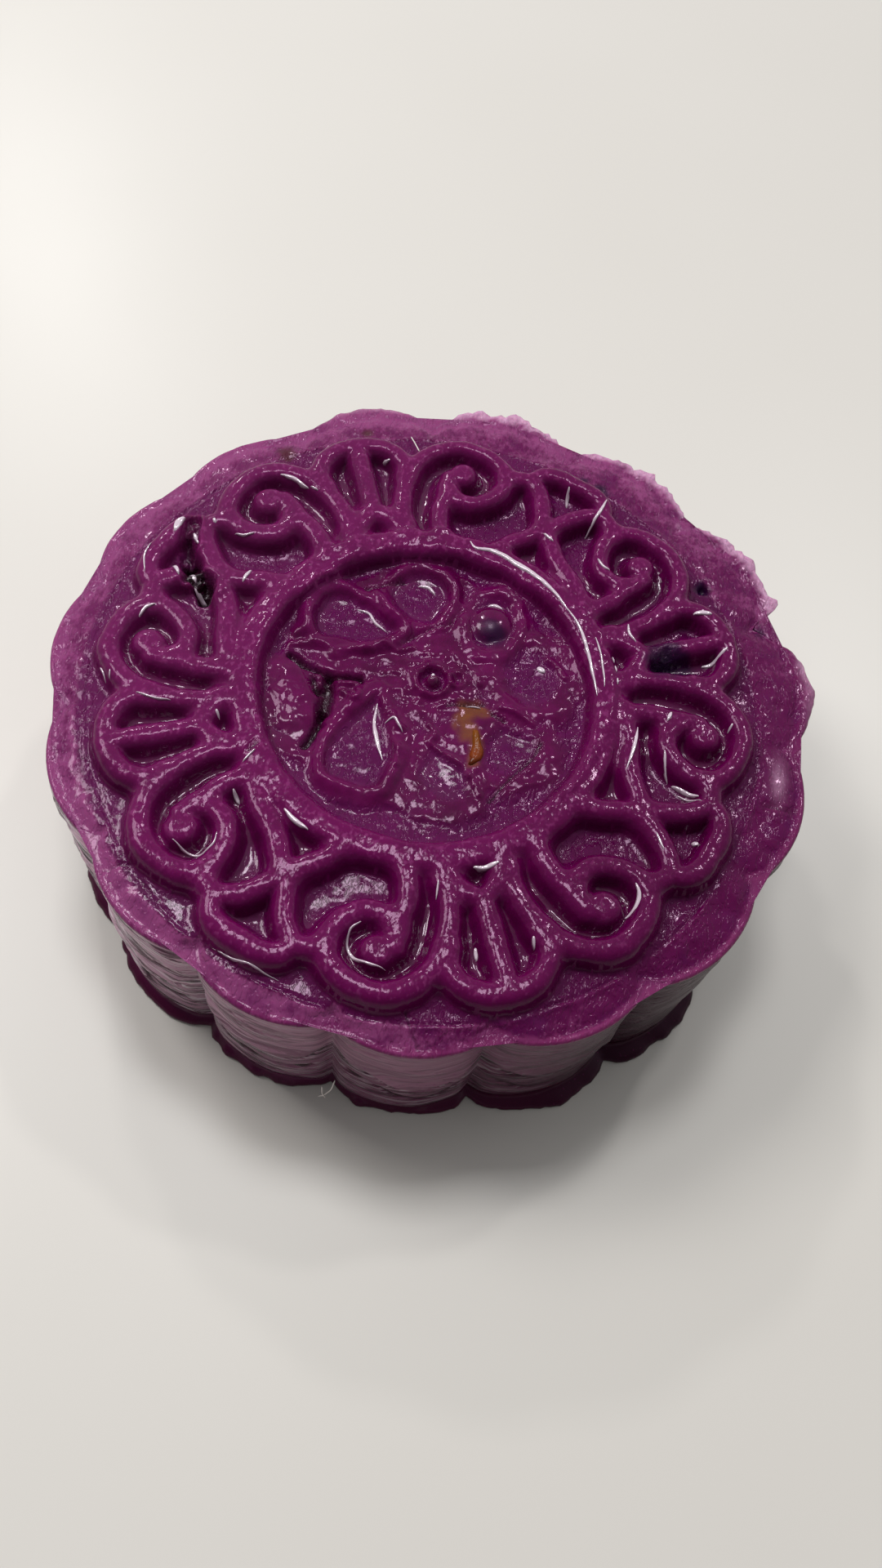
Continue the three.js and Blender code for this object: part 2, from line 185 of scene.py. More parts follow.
# Damage: where the dough is torn, holed or cracked, with half a width and a depth each.
TEARS = (
    ([(-23.5, 11.9), (-23.3, 10.6), (-23.0, 9.2)], 0.75, 1.0),
    ([(-22.8, 8.0), (-22.3, 7.0), (-21.5, 6.1), (-20.6, 5.5)], 0.95, 1.9),
)
CRACKS = (
    ([(-12.4, 0.9), (-10.6, 0.1), (-8.4, -0.4), (-6.0, -0.2)], 0.42, 0.9),
    ([(-8.7, -0.7), (-8.5, -2.6), (-8.6, -4.6)], 0.85, 1.1),
    ([(-8.6, -4.0), (-8.8, -6.0), (-9.4, -7.6)], 0.4, 0.8),
    ([(-9.9, -1.0), (-9.4, -2.0)], 0.5, 0.8),
    ([(1.6, -1.3), (3.0, -1.0), (4.6, -0.6)], 0.2, 0.45),
    ([(5.4, -1.4), (6.6, -1.9)], 0.2, 0.4),
    ([(8.1, 9.4), (8.5, 8.2), (9.6, 7.2), (11.0, 6.8)], 0.13, 0.16),
    ([(5.7, -5.9), (7.8, -5.8), (9.4, -5.2)], 0.14, 0.2),
    ([(9.9, -3.4), (9.3, -5.0), (8.0, -6.8), (6.4, -9.6)], 0.22, 0.42),
    ([(-7.2, 8.9), (-5.6, 9.9), (-4.2, 10.6)], 0.22, 0.35),
    ([(-3.2, 4.2), (-2.0, 5.2), (-0.8, 6.2), (0.6, 7.0), (1.4, 8.6)], 0.18, 0.28),
    ([(-13.6, -9.8), (-12.9, -8.9)], 0.15, 0.4),
    ([(16.4, -9.8), (16.9, -11.2)], 0.12, 0.15),
    ([(2.7, -28.6), (3.4, -29.9), (4.2, -31.2)], 0.16, 0.3),
    ([(29.0, -5.1), (30.2, -5.0), (31.8, -4.9)], 0.16, 0.3),
    ([(-22.1, -21.3), (-21.3, -20.9), (-20.4, -20.8)], 0.16, 0.3),
)
HOLES = ((22.5, 16.2, 0.7, 0.8), (19.6, 6.9, 1.5, 1.1), (12.2, 25.5, 0.5, 0.4))
# Painted shade: dark spots in the holes, at the bite in the rim and under the lump of dough; places and how
# far round them.
DARK_SPOTS = (
    (4.4, 6.6, 1.5),
    (22.5, 16.2, 1.0),
    (19.5, 6.8, 2.3),
    (20.9, 6.6, 1.5),
    (12.0, 25.6, 1.1),
    (10.4, 26.4, 0.9),
    (28.0, 13.0, 0.8),
)
BROWN_SPOTS = ((-17.6, 23.2, 1.1), (-10.6, 27.6, 0.7))
# Where the flower shines like foil: places, how far round them and how much.
FOIL_SPOTS = ((1, -12, 4.5, 0.3), (-11.3, -6.6, 1.7, 0.9), (2.6, -7.3, 1.6, 0.9))
# Where custard has soaked into the dough, with half a width each.
BLOTS = (
    ([(3.2, -1.2), (4.4, -1.3)], 1.0),
    ([(3.6, -1.6), (3.3, -2.4), (3.8, -3.6)], 1.15),
    ([(3.9, -3.4), (4.6, -4.6), (4.5, -6.4)], 0.75),
)
# Liquid that catches the light, with its glints painted pale: its lines on the dough and half its width.
GLINTS = (
    ([(0.9, 15.2), (1.5, 14.5), (3.0, 14.6), (5.0, 13.8), (7.0, 12.8), (9.0, 11.2), (10.5, 9.5)], 0.32),
    ([(10.3, 9.8), (11.6, 8.0), (12.5, 6.0), (13.2, 3.8), (13.9, 1.4)], 0.2),
    ([(13.1, 7.4), (13.8, 5.4), (14.25, 3.4), (14.4, 2.3)], 0.12),
    ([(-7.7, 6.9), (-6.6, 6.7), (-5.9, 5.9), (-5.2, 5.4), (-4.7, 5.1)], 0.18),
    ([(-2.9, 10.6), (-2.0, 10.7), (-1.2, 10.0)], 0.2),
    ([(-4.2, -2.2), (-4.15, -4.0), (-3.6, -5.8), (-2.8, -7.6)], 0.24),
    ([(-3.3, -4.2), (-2.6, -3.7), (-2.1, -4.3), (-1.6, -4.9)], 0.12),
    ([(8.6, 4.3), (9.4, 3.9)], 0.42),
    ([(-13.7, -10.9), (-12.9, -9.6)], 0.13),
    ([(-13.9, -13.3), (-13.2, -14.1)], 0.24),
    ([(-9.6, -14.3), (-8.6, -15.1), (-7.3, -15.8)], 0.25),
    ([(-14.2, -17.4), (-14.25, -18.5), (-15.1, -19.1), (-16.4, -19.05), (-17.5, -18.6)], 0.14),
    ([(-1.8, -22.5), (-2.55, -23.3), (-2.5, -24.4), (-1.8, -25.3), (-0.6, -25.8), (0.8, -25.9)], 0.16),
    ([(-27.3, -4.1), (-26.8, -4.7), (-26.5, -5.3)], 0.14),
    ([(3.5, 9.7), (4.1, 10.0), (4.9, 9.7)], 0.22),
    ([(-0.25, 0.95), (0.15, 1.1)], 0.2),
    ([(3.1, -1.1), (3.8, -1.05), (4.5, -1.1)], 0.07),
    ([(14.85, 6.2), (15.1, 5.5)], 0.1),
    ([(15.1, 5.0), (15.3, 4.2)], 0.12),
    ([(15.4, 3.6), (15.5, 2.9)], 0.1),
    ([(-12.6, -26.3), (-10.8, -27.0), (-9.2, -27.4), (-7.0, -27.9)], 0.1),
    ([(-26.2, -4.6), (-26.1, -5.3)], 0.1),
    ([(-23.6, -6.4), (-22.2, -6.6), (-20.6, -6.5)], 0.11),
    ([(-16.9, -6.5), (-16.5, -7.1)], 0.16),
    ([(17.65, -0.6), (17.5, -2.6), (17.0, -5.2)], 0.22),
    ([(20.0, -2.6), (20.3, -3.9), (20.8, -4.9)], 0.16),
    ([(21.1, -5.0), (22.2, -5.5), (23.3, -6.1)], 0.3),
    ([(21.6, -5.8), (22.6, -6.3), (23.5, -6.8)], 0.1),
    ([(23.2, -9.9), (23.7, -10.2)], 0.28),
    ([(18.7, -15.2), (19.15, -16.2), (18.9, -17.3), (18.2, -18.1)], 0.24),
    ([(5.9, -16.3), (6.9, -16.1), (7.9, -15.6)], 0.3),
    ([(7.1, -22.5), (7.4, -23.6)], 0.24),
    ([(11.3, -21.2), (11.6, -22.1)], 0.2),
    ([(3.4, -18.0), (3.5, -19.6)], 0.1),
    ([(19.9, -10.4), (20.7, -12.0)], 0.1),
    ([(-17.1, 19.0), (-15.8, 18.9), (-14.3, 18.3)], 0.22),
    ([(-14.2, 18.4), (-13.4, 18.0)], 0.1),
    ([(-21.7, 12.7), (-21.4, 12.2)], 0.2),
    ([(-19.6, 11.7), (-18.7, 11.6), (-17.8, 11.9)], 0.13),
    ([(-17.7, 6.5), (-17.5, 7.3), (-17.2, 8.0)], 0.2),
    ([(-25.4, 1.2), (-25.0, 2.1), (-24.2, 2.6)], 0.19),
    ([(-8.4, 23.5), (-7.7, 23.4)], 0.22),
    ([(12.6, 23.0), (12.1, 21.4), (11.2, 19.4)], 0.22),
    ([(9.0, 24.0), (9.15, 22.6)], 0.26),
    ([(7.3, 17.7), (8.3, 17.0)], 0.2),
    ([(12.4, 16.0), (13.0, 15.2), (13.7, 14.9)], 0.17),
    ([(18.3, 16.0), (18.6, 14.9)], 0.12),
    ([(21.4, 11.8), (22.2, 12.0), (23.1, 12.1)], 0.3),
    ([(22.8, 7.5), (23.8, 7.9), (24.7, 8.9)], 0.24),
    ([(15.8, 9.5), (16.0, 8.5), (16.7, 7.6)], 0.17),
    ([(20.0, 0.2), (20.3, 1.2)], 0.22),
    ([(25.4, 0.7), (25.6, 1.3)], 0.16),
    ([(-24.1, 12.2), (-24.5, 11.4), (-24.6, 10.4)], 0.44),
    ([(-23.2, 11.3), (-22.8, 10.7), (-22.4, 9.9)], 0.26),
    ([(-22.7, 7.2), (-22.2, 6.8), (-21.8, 6.2)], 0.34),
    ([(-21.8, 5.6), (-21.2, 5.5), (-20.6, 5.2)], 0.34),
    ([(-24.0, 7.1), (-23.4, 6.4), (-23.1, 5.9)], 0.26),
    ([(-26.3, 9.0), (-26.5, 7.4), (-26.0, 5.6)], 0.12),
)
# How much of each finish lies at each place of the skin, in the order the dough's finish reads them.
MASKS = (
    *("crest", "ground", "hollow", "wet", "tear", "stain", "brown", "custard", "band", "side"),
    *("foot", "lip", "flash", "foil", "edge", "crease", "sheet", "under", "calm", "shade", "gleam"),
)


# ---- numbers that look random but never change ----
def scatter(i, j, k, seed):
    """One number from -1 to 1 for each point of a whole-number grid."""
    mixed = (i * 374761393 + j * 668265263 + k * 1274126177 + seed * 974634777) & 0xFFFFFFFF
    mixed = ((mixed ^ (mixed >> 13)) * 1103515245) & 0xFFFFFFFF
    return ((mixed ^ (mixed >> 16)) & 0xFFFF) / 32767.5 - 1.0


def lumps(place, size, seed, layers=3):
    """Smooth lumps from about -1 to 1 at places (n, 3); size is one number or three, in the places' unit."""
    place = np.asarray(place, float) / np.asarray(size, float)
    total = np.zeros(len(place))
    share = 1.0
    for layer in range(layers):
        low = np.floor(place).astype(np.int64)
        part = place - low
        part = part * part * part * (part * (part * 6 - 15) + 10)
        for corner in range(8):
            step = ((corner >> 0) & 1, (corner >> 1) & 1, (corner >> 2) & 1)
            weight = np.ones(len(place))
            for axis in range(3):
                weight = weight * (part[:, axis] if step[axis] else 1 - part[:, axis])
            i, j, k = (low[:, axis] + step[axis] for axis in range(3))
            total += share * weight * scatter(i, j, k, seed + layer)
        share *= 0.5
        place = place * 2.03 + 7.7
    return total


def ramp(value, low, high):
    """0 below low, 1 above high and smooth between them; the two may be given the other way round."""
    part = np.clip((value - low) / (high - low), 0, 1)
    return part * part * (3 - 2 * part)


def bell(value, middle, width, power=2):
    """1 at the middle, falling smoothly to 0 a few widths away."""
    return np.exp(-(((value - middle) / width) ** power))


def soft_max(a, b, blend):
    """The larger of two heights, rounded where they meet."""
    apart = np.abs(a - b)
    return 0.5 * (a + b + np.sqrt(apart**2 + blend * blend)) - 0.5 * blend * np.exp(-apart / blend)


# ---- curves ----
def curve(points, step=0.12, closed=False):
    """A smooth line through points (x, y), with places about a step apart."""
    knots = np.array(points, float)
    count = len(knots)

    def knot(i):
        if closed:
            return knots[i % count]
        if i < 0:
            return 2 * knots[0] - knots[1]
        if i >= count:
            return 2 * knots[-1] - knots[-2]
        return knots[i]

    parts = []
    for i in range(count if closed else count - 1):
        a, b, c, d = knot(i - 1), knot(i), knot(i + 1), knot(i + 2)
        t1 = max(np.linalg.norm(b - a), 1e-9) ** 0.5
        t2 = t1 + max(np.linalg.norm(c - b), 1e-9) ** 0.5
        t3 = t2 + max(np.linalg.norm(d - c), 1e-9) ** 0.5
        steps = max(2, int(np.linalg.norm(c - b) / step))
        t = np.linspace(t1, t2, steps, endpoint=False)[:, None]
        ab = (t1 - t) / t1 * a + t / t1 * b
        bc = (t2 - t) / (t2 - t1) * b + (t - t1) / (t2 - t1) * c
        cd = (t3 - t) / (t3 - t2) * c + (t - t2) / (t3 - t2) * d
        abc = (t2 - t) / t2 * ab + t / t2 * bc
        bcd = (t3 - t) / (t3 - t1) * bc + (t - t1) / (t3 - t1) * cd
        parts.append((t2 - t) / (t2 - t1) * abc + (t - t1) / (t2 - t1) * bcd)
    if not closed:
        parts.append(knots[-1:])
    return np.concatenate(parts)


class Line:
    """Many places on one or more curves, and how far other places lie from them."""

    def __init__(self, curves):
        self.places = np.concatenate(curves)
        self.tree = KDTree(len(self.places))
        for i, (x, y) in enumerate(self.places):
            self.tree.insert((x, y, 0), i)
        self.tree.balance()

    def nearest(self, x, y):
        """How far the places of two arrays, x and y, are from the nearest place of the line."""
        return np.array([self.tree.find((a, b, 0))[2] for a, b in zip(x.tolist(), y.tolist())])


def inside(x, y, outline):
    """True where a place lies inside a closed outline."""
    held = np.zeros(len(x), bool)
    ahead = np.roll(outline, -1, axis=0)
    for (ax, ay), (bx, by) in zip(outline, ahead):
        crossed = (ay > y) != (by > y)
        if crossed.any():
            with np.errstate(divide="ignore", invalid="ignore"):
                held ^= crossed & (x < (bx - ax) * (y - ay) / (by - ay) + ax)
    return held


# ---- the lobed rim, its flash and its foot ----
def sway(angle):
    """How far the hand that pressed the mould turned it, round the rim."""
    once = np.radians(0.85) * np.cos(angle - math.radians(127))
    return once + np.radians(0.77) * np.cos(3 * angle + math.radians(19))


def rim_radius(angle):
    """The rim's slightly oval reach, without its lobes."""
    return RIM_RADIUS * (1 + 0.0126 * np.cos(angle - math.radians(35)) + 0.0103 * np.cos(2 * angle))


def lobe(angle):
    """How far a lobe stands out; the lobes meet in narrow notches."""
    along = np.mod((angle - math.radians(LOBE_START)) / math.radians(360 / LOBES), 1)
    from_notch = np.minimum(along, 1 - along) * LOBE_WIDTH
    return LOBE_RISE * (1 - (2 * along - 1) ** 2) - NOTCH_DEPTH * bell(from_notch, 0, NOTCH_HALF, 1.5)


def ragged(angle):
    """An uneven wave from -1 to 1 round the cake."""
    return (np.sin(23 * angle + 1) + np.sin(41 * angle + 4) + np.sin(67 * angle + 2)) / 3


def around(angle, middle):
    """How far an angle is from a middle, in radians, either way round."""
    return np.abs(np.arctan2(np.sin(angle - middle), np.cos(angle - middle)))


def toward(angle, middle, width, power=2):
    """1 where an angle faces the middle and less beside it; middle and width are in degrees."""
    return bell(around(angle, math.radians(middle)), 0, math.radians(width), power)


def away_ramp(angle, middle, low, high):
    """A ramp by how many degrees an angle is from the middle."""
    return ramp(around(angle, math.radians(middle)), math.radians(low), math.radians(high))


def flash_share(angle):
    """1 along the far right, where the flash stands out, and 0 elsewhere."""
    return 1 - away_ramp(angle, 62, 48, 62)


def on_rim(angle):
    """Places on an even circle, where the lumps of the rim are read."""
    return np.stack([np.cos(angle) * RIM_RADIUS, np.sin(angle) * RIM_RADIUS, 0 * angle], 1)


def flash(angle):
    """How far the thin flash stands out: a broken fringe on the far lobes, bitten through once."""
    rim = on_rim(angle)
    fringe = away_ramp(angle, 60, 40, 26)
    crumbs = 0.25 * lumps(rim, 1.7, 71, 2) + (0.1 + 0.3 * fringe) * lumps(rim, 0.5, 72, 2)
    bite = toward(angle, 24.6, 2.7, 4)
    corner = toward(angle, 29.2, 1.6)
    reach = 0.2 + 0.75 * lobe(angle) / LOBE_RISE + 0.25 * fringe + crumbs - 1.5 * bite + 0.7 * corner
    return flash_share(angle) * reach


def foot(angle):
    """How far the foot spreads on the board."""
    rim = on_rim(angle)
    spread = FOOT_RIGHT_SPREAD * toward(angle, FOOT_RIGHT, 22)
    spread = spread + FOOT_LEFT_SPREAD * toward(angle, FOOT_LEFT, 22)
    crumbs = 0.24 * lumps(rim, 3.2, 83, 2) + 0.14 * lumps(rim, 1.0, 84, 2)
    return 0.2 + spread + 0.06 * ragged(angle + 1) + crumbs


# ---- the pattern's strokes ----
def draw_of(angle):
    """By what share the pattern is drawn out at an angle."""
    turn = np.mod((angle - math.radians(FAN_START)) / math.radians(45), 8)
    whole = np.floor(turn).astype(int)
    drawn = np.array(PATTERN_DRAW)
    before, after = drawn[whole % 8], drawn[(whole + 1) % 8]
    return before + (after - before) * ramp(turn - whole, 0, 1)


def settle(places):
    """Moves even places to where the pressed dough has them."""
    reach = np.hypot(places[:, 0], places[:, 1])
    angle = np.arctan2(places[:, 1], places[:, 0])
    drawn = reach * (1 + draw_of(angle))
    return np.stack([PATTERN[0] + drawn * np.cos(angle), PATTERN[1] + drawn * np.sin(angle)], 1)


def pattern_lines():
    """The strokes of all fans in four families, which meet each other softly, and the eyes' middles."""
    families = {"scroll": [], "frame": [], "toe": [], "fan": []}
    eyes = []
    for fan in range(4):
        axis = math.radians(FAN_START + 90 * fan)
        out = np.array([math.cos(axis), math.sin(axis)])
        for side in (1, -1):
            beside = side * np.array([out[1], -out[0]])

            def put(points):
                line = curve(points)
                return settle(line[:, :1] * beside + line[:, 1:] * out)

            families["scroll"].append(put(SCROLL))
            families["frame"] += [put(STEM), put(LEG), put(CROWN)]
            families["toe"].append(put(SHORT_TOE if fan % 2 else LONG_TOE))
            families["fan"] += [put(BROW), put(STRUT)]
            if side == 1:
                families["fan"].append(put(RIB))
            eyes.append(settle((EYE[0] * beside + EYE[1] * out)[None])[0])
    return {name: Line(lines) for name, lines in families.items()}, np.array(eyes)


def join_near(first, second, blend):
    """The smaller of two distances, less a little where they are alike, so that ridges meet in webs."""
    alike = np.clip(blend - np.abs(first - second), 0, None) / blend
    return np.minimum(first, second) - 0.25 * blend * alike * alike


class Top:
    """Heights and finishes of the patterned top, for any places (x, y)."""

    def __init__(self, relief, grain):
        self.relief = relief
        self.grain = grain
        self.families, self.eyes = pattern_lines()
        self.petals = [curve(points, 0.15, True) for points in PETALS]
        self.petal_lines = [Line([line]) for line in self.petals]
        self.edge = curve(FLOWER_EDGE, 0.15, True)
        self.edge_line = Line([self.edge])
        self.folds = [(Line([curve(points, 0.15)]), half, rise) for points, half, rise in FOLDS]
        self.cracks = [(Line([curve(points, 0.1)]), half, depth) for points, half, depth in CRACKS]
        self.tears = [(Line([curve(points, 0.1)]), half, depth) for points, half, depth in TEARS]
        self.blots = [(Line([curve(points, 0.15)]), half) for points, half in BLOTS]
        # How wide the ground between the ridges is, read on an even grid.
        self.cell = 0.2
        line = np.arange(-30, 30, self.cell)
        x, y = (part.ravel() for part in np.meshgrid(line, line, indexing="ij"))
        wide = self.gap(x, y).reshape(len(line), len(line))
        for axis in (0, 1):
            wide = np.max([np.roll(wide, step, axis) for step in range(-5, 6)], axis=0)
        self.widest = wide

    def even(self, x, y):
        """How far places lie from the pattern's middle, once its draw is taken back."""
        x, y = x - PATTERN[0], y - PATTERN[1]
        return np.hypot(x, y) / (1 + draw_of(np.arctan2(y, x)))

    def gap(self, x, y):
        """How far places lie from the middle of the nearest ridge, in half widths of that ridge."""
        place = np.stack([x, y, 0 * x], 1)
        wide = RIDGE_HALF * (1 + 0.08 * lumps(place, 2.6, 11, 2)) * (1 - 0.1 * ramp(x + y, 6, 26))
        reach = self.even(x, y)
        away = np.abs(reach - RING_RADIUS) - (RING_HALF - RIDGE_HALF)
        outside = reach > RING_RADIUS - 1
        if outside.any():
            near = None
            for line in self.families.values():
                found = line.nearest(x[outside], y[outside])
                near = found if near is None else join_near(near, found, WEB)
            for eye in self.eyes:
                ball = np.hypot(x[outside] - eye[0], y[outside] - eye[1]) - (EYE_HALF - RIDGE_HALF)
                near = join_near(near, ball, 0.3)
            away[outside] = join_near(away[outside], near, WEB)
        return np.clip(away, 0, None) / wide

    def narrow(self, x, y):
        """1 in narrow grooves, where liquid gathers, and 0 on open ground."""
        i = np.clip(((x + 30) / self.cell).astype(int), 0, len(self.widest) - 1)
        j = np.clip(((y + 30) / self.cell).astype(int), 0, len(self.widest) - 1)
        return ramp(self.widest[i, j], 1.75, 1.3)

    def snap(self, x, y):
        """Slides places beside a ridge onto the nearest row round it, so that the net follows the ridge."""
        for _ in range(2):
            here = self.gap(x, y)
            slope_x = (self.gap(x + 0.03, y) - here) / 0.03
            slope_y = (self.gap(x, y + 0.03) - here) / 0.03
            steep = np.maximum(slope_x**2 + slope_y**2, 0.09)
            rows = np.array(WALL_ROWS)
            goal = rows[np.abs(here[:, None] - rows).argmin(1)]
            slip = np.clip((goal - here) / steep, -0.14, 0.14)
            x, y = x + slip * slope_x, y + slip * slope_y
        return x, y

    def read(self, x, y):
        """Arrays by name: height over the underside, and how much of each finish lies at each place."""
        place = np.stack([x, y, 0 * x], 1)
        even = self.even(x, y)
        gap = self.gap(x, y)
        narrow = self.narrow(x, y)
        tube = np.clip(1 - np.clip(gap, 0, 1) ** 3.0, 0, 1) ** 0.58
        beyond = np.clip(gap - 1, 0, None) * RIDGE_HALF
        lean = 1 + 0.05 * lumps(place, 6.0, 31, 2)
        inner = even < RING_RADIUS - 0.5
        fillet = (0.2 + 0.3 * narrow) * np.exp(-beyond / (0.2 + 0.22 * narrow))
        fillet = np.where(inner, 0.35 * np.exp(-beyond / 0.45), fillet)
        height = np.maximum(self.relief * tube * lean, fillet * (gap > 0.6))
        crest = tube
        wet = np.where(inner, 0, narrow * ramp(gap, 0.86, 1.02))

        flower, hollow, petal_rim, petal_wet = self.flower(x, y, place)
        height = height + flower
        wet = np.maximum(wet, petal_wet)

        # The bead: two fine creases, broken here and there, with a gutter between.
        broken = ramp(lumps(place, 2.2, 41, 2), -0.5, 0.25)
        wander = even + 0.1 * lumps(place, 3.0, 42, 2)
        creases = bell(wander, 28.98, 0.13) + 0.7 * bell(wander, 28.5, 0.12)
        gutter = bell(wander, 28.72, 0.16)
        height = height + (0.15 * creases * broken - 0.1 * gutter) * ramp(gap, 0.98, 1.3)

        ground = ramp(gap, 0.98, 1.22) * ramp(flower, 0.5, 0.2) * (1 - 0.9 * wet)
        height = height + 0.07 * lumps(place, 4.5, 51, 2) * ground
        dry = 1 - 0.9 * wet
        outer = np.where(inner, 0.2, 1 - 0.6 * ground)
        bumps = 0.034 * lumps(place, 0.85, 61, 2) + 0.016 * outer * lumps(place, 0.42, 62, 1)
        height = height + self.grain * dry * (1 - 0.6 * hollow) * bumps
        # Pressed ground and the flower's bed are finely wrinkled.
        creased = 1 - np.abs(lumps(place, (1.5, 0.9, 1), 63, 2))
        height = height + self.grain * 0.05 * (creased - 0.7) * np.maximum(ground, 0.5 * hollow) * dry

        # Torn dough, whose dark colour in the cracks and holes is painted shade.
        tear = np.zeros(len(x))
        for line, half, depth in self.tears:
            away = line.nearest(x, y)
            edge = away / half + 0.3 * lumps(place, 1.1, 91, 2)
            cut = ramp(edge, 1.2, 0.45)
            height = height - depth * cut * (0.7 + 0.35 * lumps(place, 0.9, 92, 3))
            height = height + 0.22 * ramp(edge, 2.1, 1.3) * ramp(edge, 0.9, 1.3)
            tear = np.maximum(tear, cut * (0.5 + 0.5 * ramp(np.full(1, depth), 1.0, 1.8)))
        for line, half, depth in self.cracks:
            away = line.nearest(x, y)
            cut = ramp(away / half + 0.3 * lumps(place, 0.8, 93, 2), 1.15, 0.1)
            height = height - depth * cut
            tear = np.maximum(tear, 0.9 * cut * ramp(np.full(1, depth), 0.15, 0.6))
        for hx, hy, size, depth in HOLES:
            cut = ramp(np.hypot(x - hx, y - hy) / size + 0.25 * lumps(place, 0.9, 94, 2), 1.1, 0.2)
            height = height - depth * cut
            tear = np.maximum(tear, (0.9 if size > 1 else 0.6) * cut)
        height = np.maximum(height, -2.6)
        spots = {}
        # The dark spots are painted shade; the brown spots are stains in the dough.
        for name, places, ragged_edge, seed, full in (
            ("stain", DARK_SPOTS, 0.25, 95, 0.35),
            ("brown", BROWN_SPOTS, 0.3, 99, 0.3),
        ):
            spots[name] = np.zeros(len(x))
            for sx, sy, size in places:
                spread = np.hypot(x - sx, y - sy) / size + ragged_edge * lumps(place, 1.0, seed, 2)
                spots[name] = np.maximum(spots[name], ramp(spread, 1.15, full))
        soaked = np.zeros(len(x))
        for line, half in self.blots:
            away = line.nearest(x, y)
            soaked = np.maximum(soaked, ramp(away / half + 0.22 * lumps(place, 0.8, 96, 2), 1.15, 0.3))
        foil = ground * bell(np.hypot(x + 15, y + 19), 0, 12)
        flower_foil = sum(
            share * bell(np.hypot(x - fx, y - fy), 0, size) for fx, fy, size, share in FOIL_SPOTS
        )
        return {
            "height": FLOOR_HEIGHT + height,
            "crest": np.clip(crest + petal_rim * 0.8, 0, 1),
            "ground": ground,
            "hollow": hollow,
            "wet": np.clip(wet, 0, 1),
            "tear": tear,
            "custard": soaked,
            "foil": np.maximum(foil, flower_foil * (even < RING_RADIUS - 1.5)),
            **spots,
        }

    def flower(self, x, y, place):
        """The flower's relief, how much of each place is a petal's hollow or its rim, and how wet it is."""
        rise, hollow, rims, wet = np.zeros((4, len(x)))
        near = np.hypot(x - FLOWER[0], y - FLOWER[1]) < 15.5
        if not near.any():
            return rise, hollow, rims, wet
        px, py, spot = x[near], y[near], place[near]
        px = px + 0.3 * lumps(spot, 3.0, 97, 2)
        py = py + 0.3 * lumps(spot, 3.0, 98, 2)
        away = self.edge_line.nearest(px, py)
        away = np.where(inside(px, py, self.edge), away, -away) + 0.12 * lumps(spot, 1.4, 101, 2)
        bed = FLOWER_BED * ramp(away, -0.5, 0.5)
        dish, rim, pool = np.zeros((3, near.sum()))
        petals = zip(self.petals, self.petal_lines, PETAL_RISES, PETAL_SPREADS)
        for outline, line, rim_rise, spread in petals:
            away = line.nearest(px, py)
            away = away / spread
            held = inside(px, py, outline)
            uneven = rim_rise * (1 + 0.3 * lumps(spot, 2.4, 112, 2))
            soft = np.where(held, ramp(away, 1.05, 0.1), ramp(away, 1.5, 0.1))
            rim = np.maximum(rim, uneven * soft)
            dish = np.maximum(dish, np.where(held, ramp(away, 0.45, 1.15), 0))
            pool = np.maximum(pool, np.where(held, bell(away, 1.2, 0.3), 0))
        mound = soft_max(bed * (1 - 0.75 * dish), rim + 0.12 * (1 - dish), 0.15) + 0.05 * pool
        for line, half, fold_rise in self.folds:
            away = line.nearest(px, py)
            mound = mound + fold_rise * ramp(away / half + 0.2 * lumps(spot, 0.9, 113, 2), 1.1, 0.0)
        # The heart: a pin in a small ring, a second small ring beside it and puckered dough about them.
        hx, hy = x[near] - FLOWER[0], y[near] - FLOWER[1]
        from_pin = np.hypot(hx, hy)
        heart = ramp(from_pin, 4.4, 2.2)
        pucker = 1 - np.abs(lumps(spot, (1.5, 1.0, 1), 121, 2))
        mound = mound * (1 - heart) + heart * (0.45 + 0.2 * pucker)
        clear = ramp(from_pin, 1.9, 1.2)
        mound = mound * (1 - clear) + clear * 0.62
        mound = mound + 0.3 * bell(from_pin, 1.5, 0.34) - 0.5 * bell(from_pin, 0.9, 0.26)
        mound = mound + 0.5 * np.sqrt(np.clip(1 - (from_pin / 0.62) ** 2, 0, 1))
        from_dot = np.hypot(hx - 2.0, hy - 0.5)
        mound = mound + 0.24 * bell(from_dot, 0.75, 0.22) - 0.26 * bell(from_dot, 0, 0.5)
        # The eighth petal is pressed out flat and torn away along one side.
        turn = math.radians(-64)
        along = (px + 11.2) * math.cos(turn) + (py + 3.4) * math.sin(turn)
        across = -(px + 11.2) * math.sin(turn) + (py + 3.4) * math.cos(turn)
        leaf = np.sqrt(np.clip(1 - np.abs(along / 4.6) ** 2.4 - np.abs(across / 1.9) ** 2.4, 0, 1))
        mound = soft_max(mound, 0.85 * leaf + 0.14 * leaf * lumps(spot, 1.5, 131, 2), 0.1)
        # A lump of dough sits in the third petal; its lower side is painted dark as shade.
        lump = np.sqrt(np.clip(1 - np.hypot(x[near] - 4.2, y[near] - 7.9) ** 2 / 2.0**2, 0, 1))
        mound = soft_max(mound, 0.95 * lump, 0.12)
        crumpled = 1 - np.abs(lumps(spot, 1.4, 141, 3))
        uneven = 0.1 * lumps(spot, 2.2, 142, 2) + 0.09 * (crumpled - 0.6)
        mound = mound + uneven * (1 - 0.6 * dish) * (1 - lump)
        rise[near] = mound
        hollow[near] = dish * (1 - heart) * (1 - lump)
        rims[near] = np.maximum(np.clip(rim, 0, 1), 0.7 * leaf)
        pearl = ramp(from_pin, 0.8, 0.5)
        pooled = 0.5 * pool * ramp(lumps(spot, 2.5, 143, 1), -0.3, 0.3)
        wet[near] = np.maximum(pooled, np.maximum(0.12 * lump, pearl))
        return rise, hollow, rims, wet


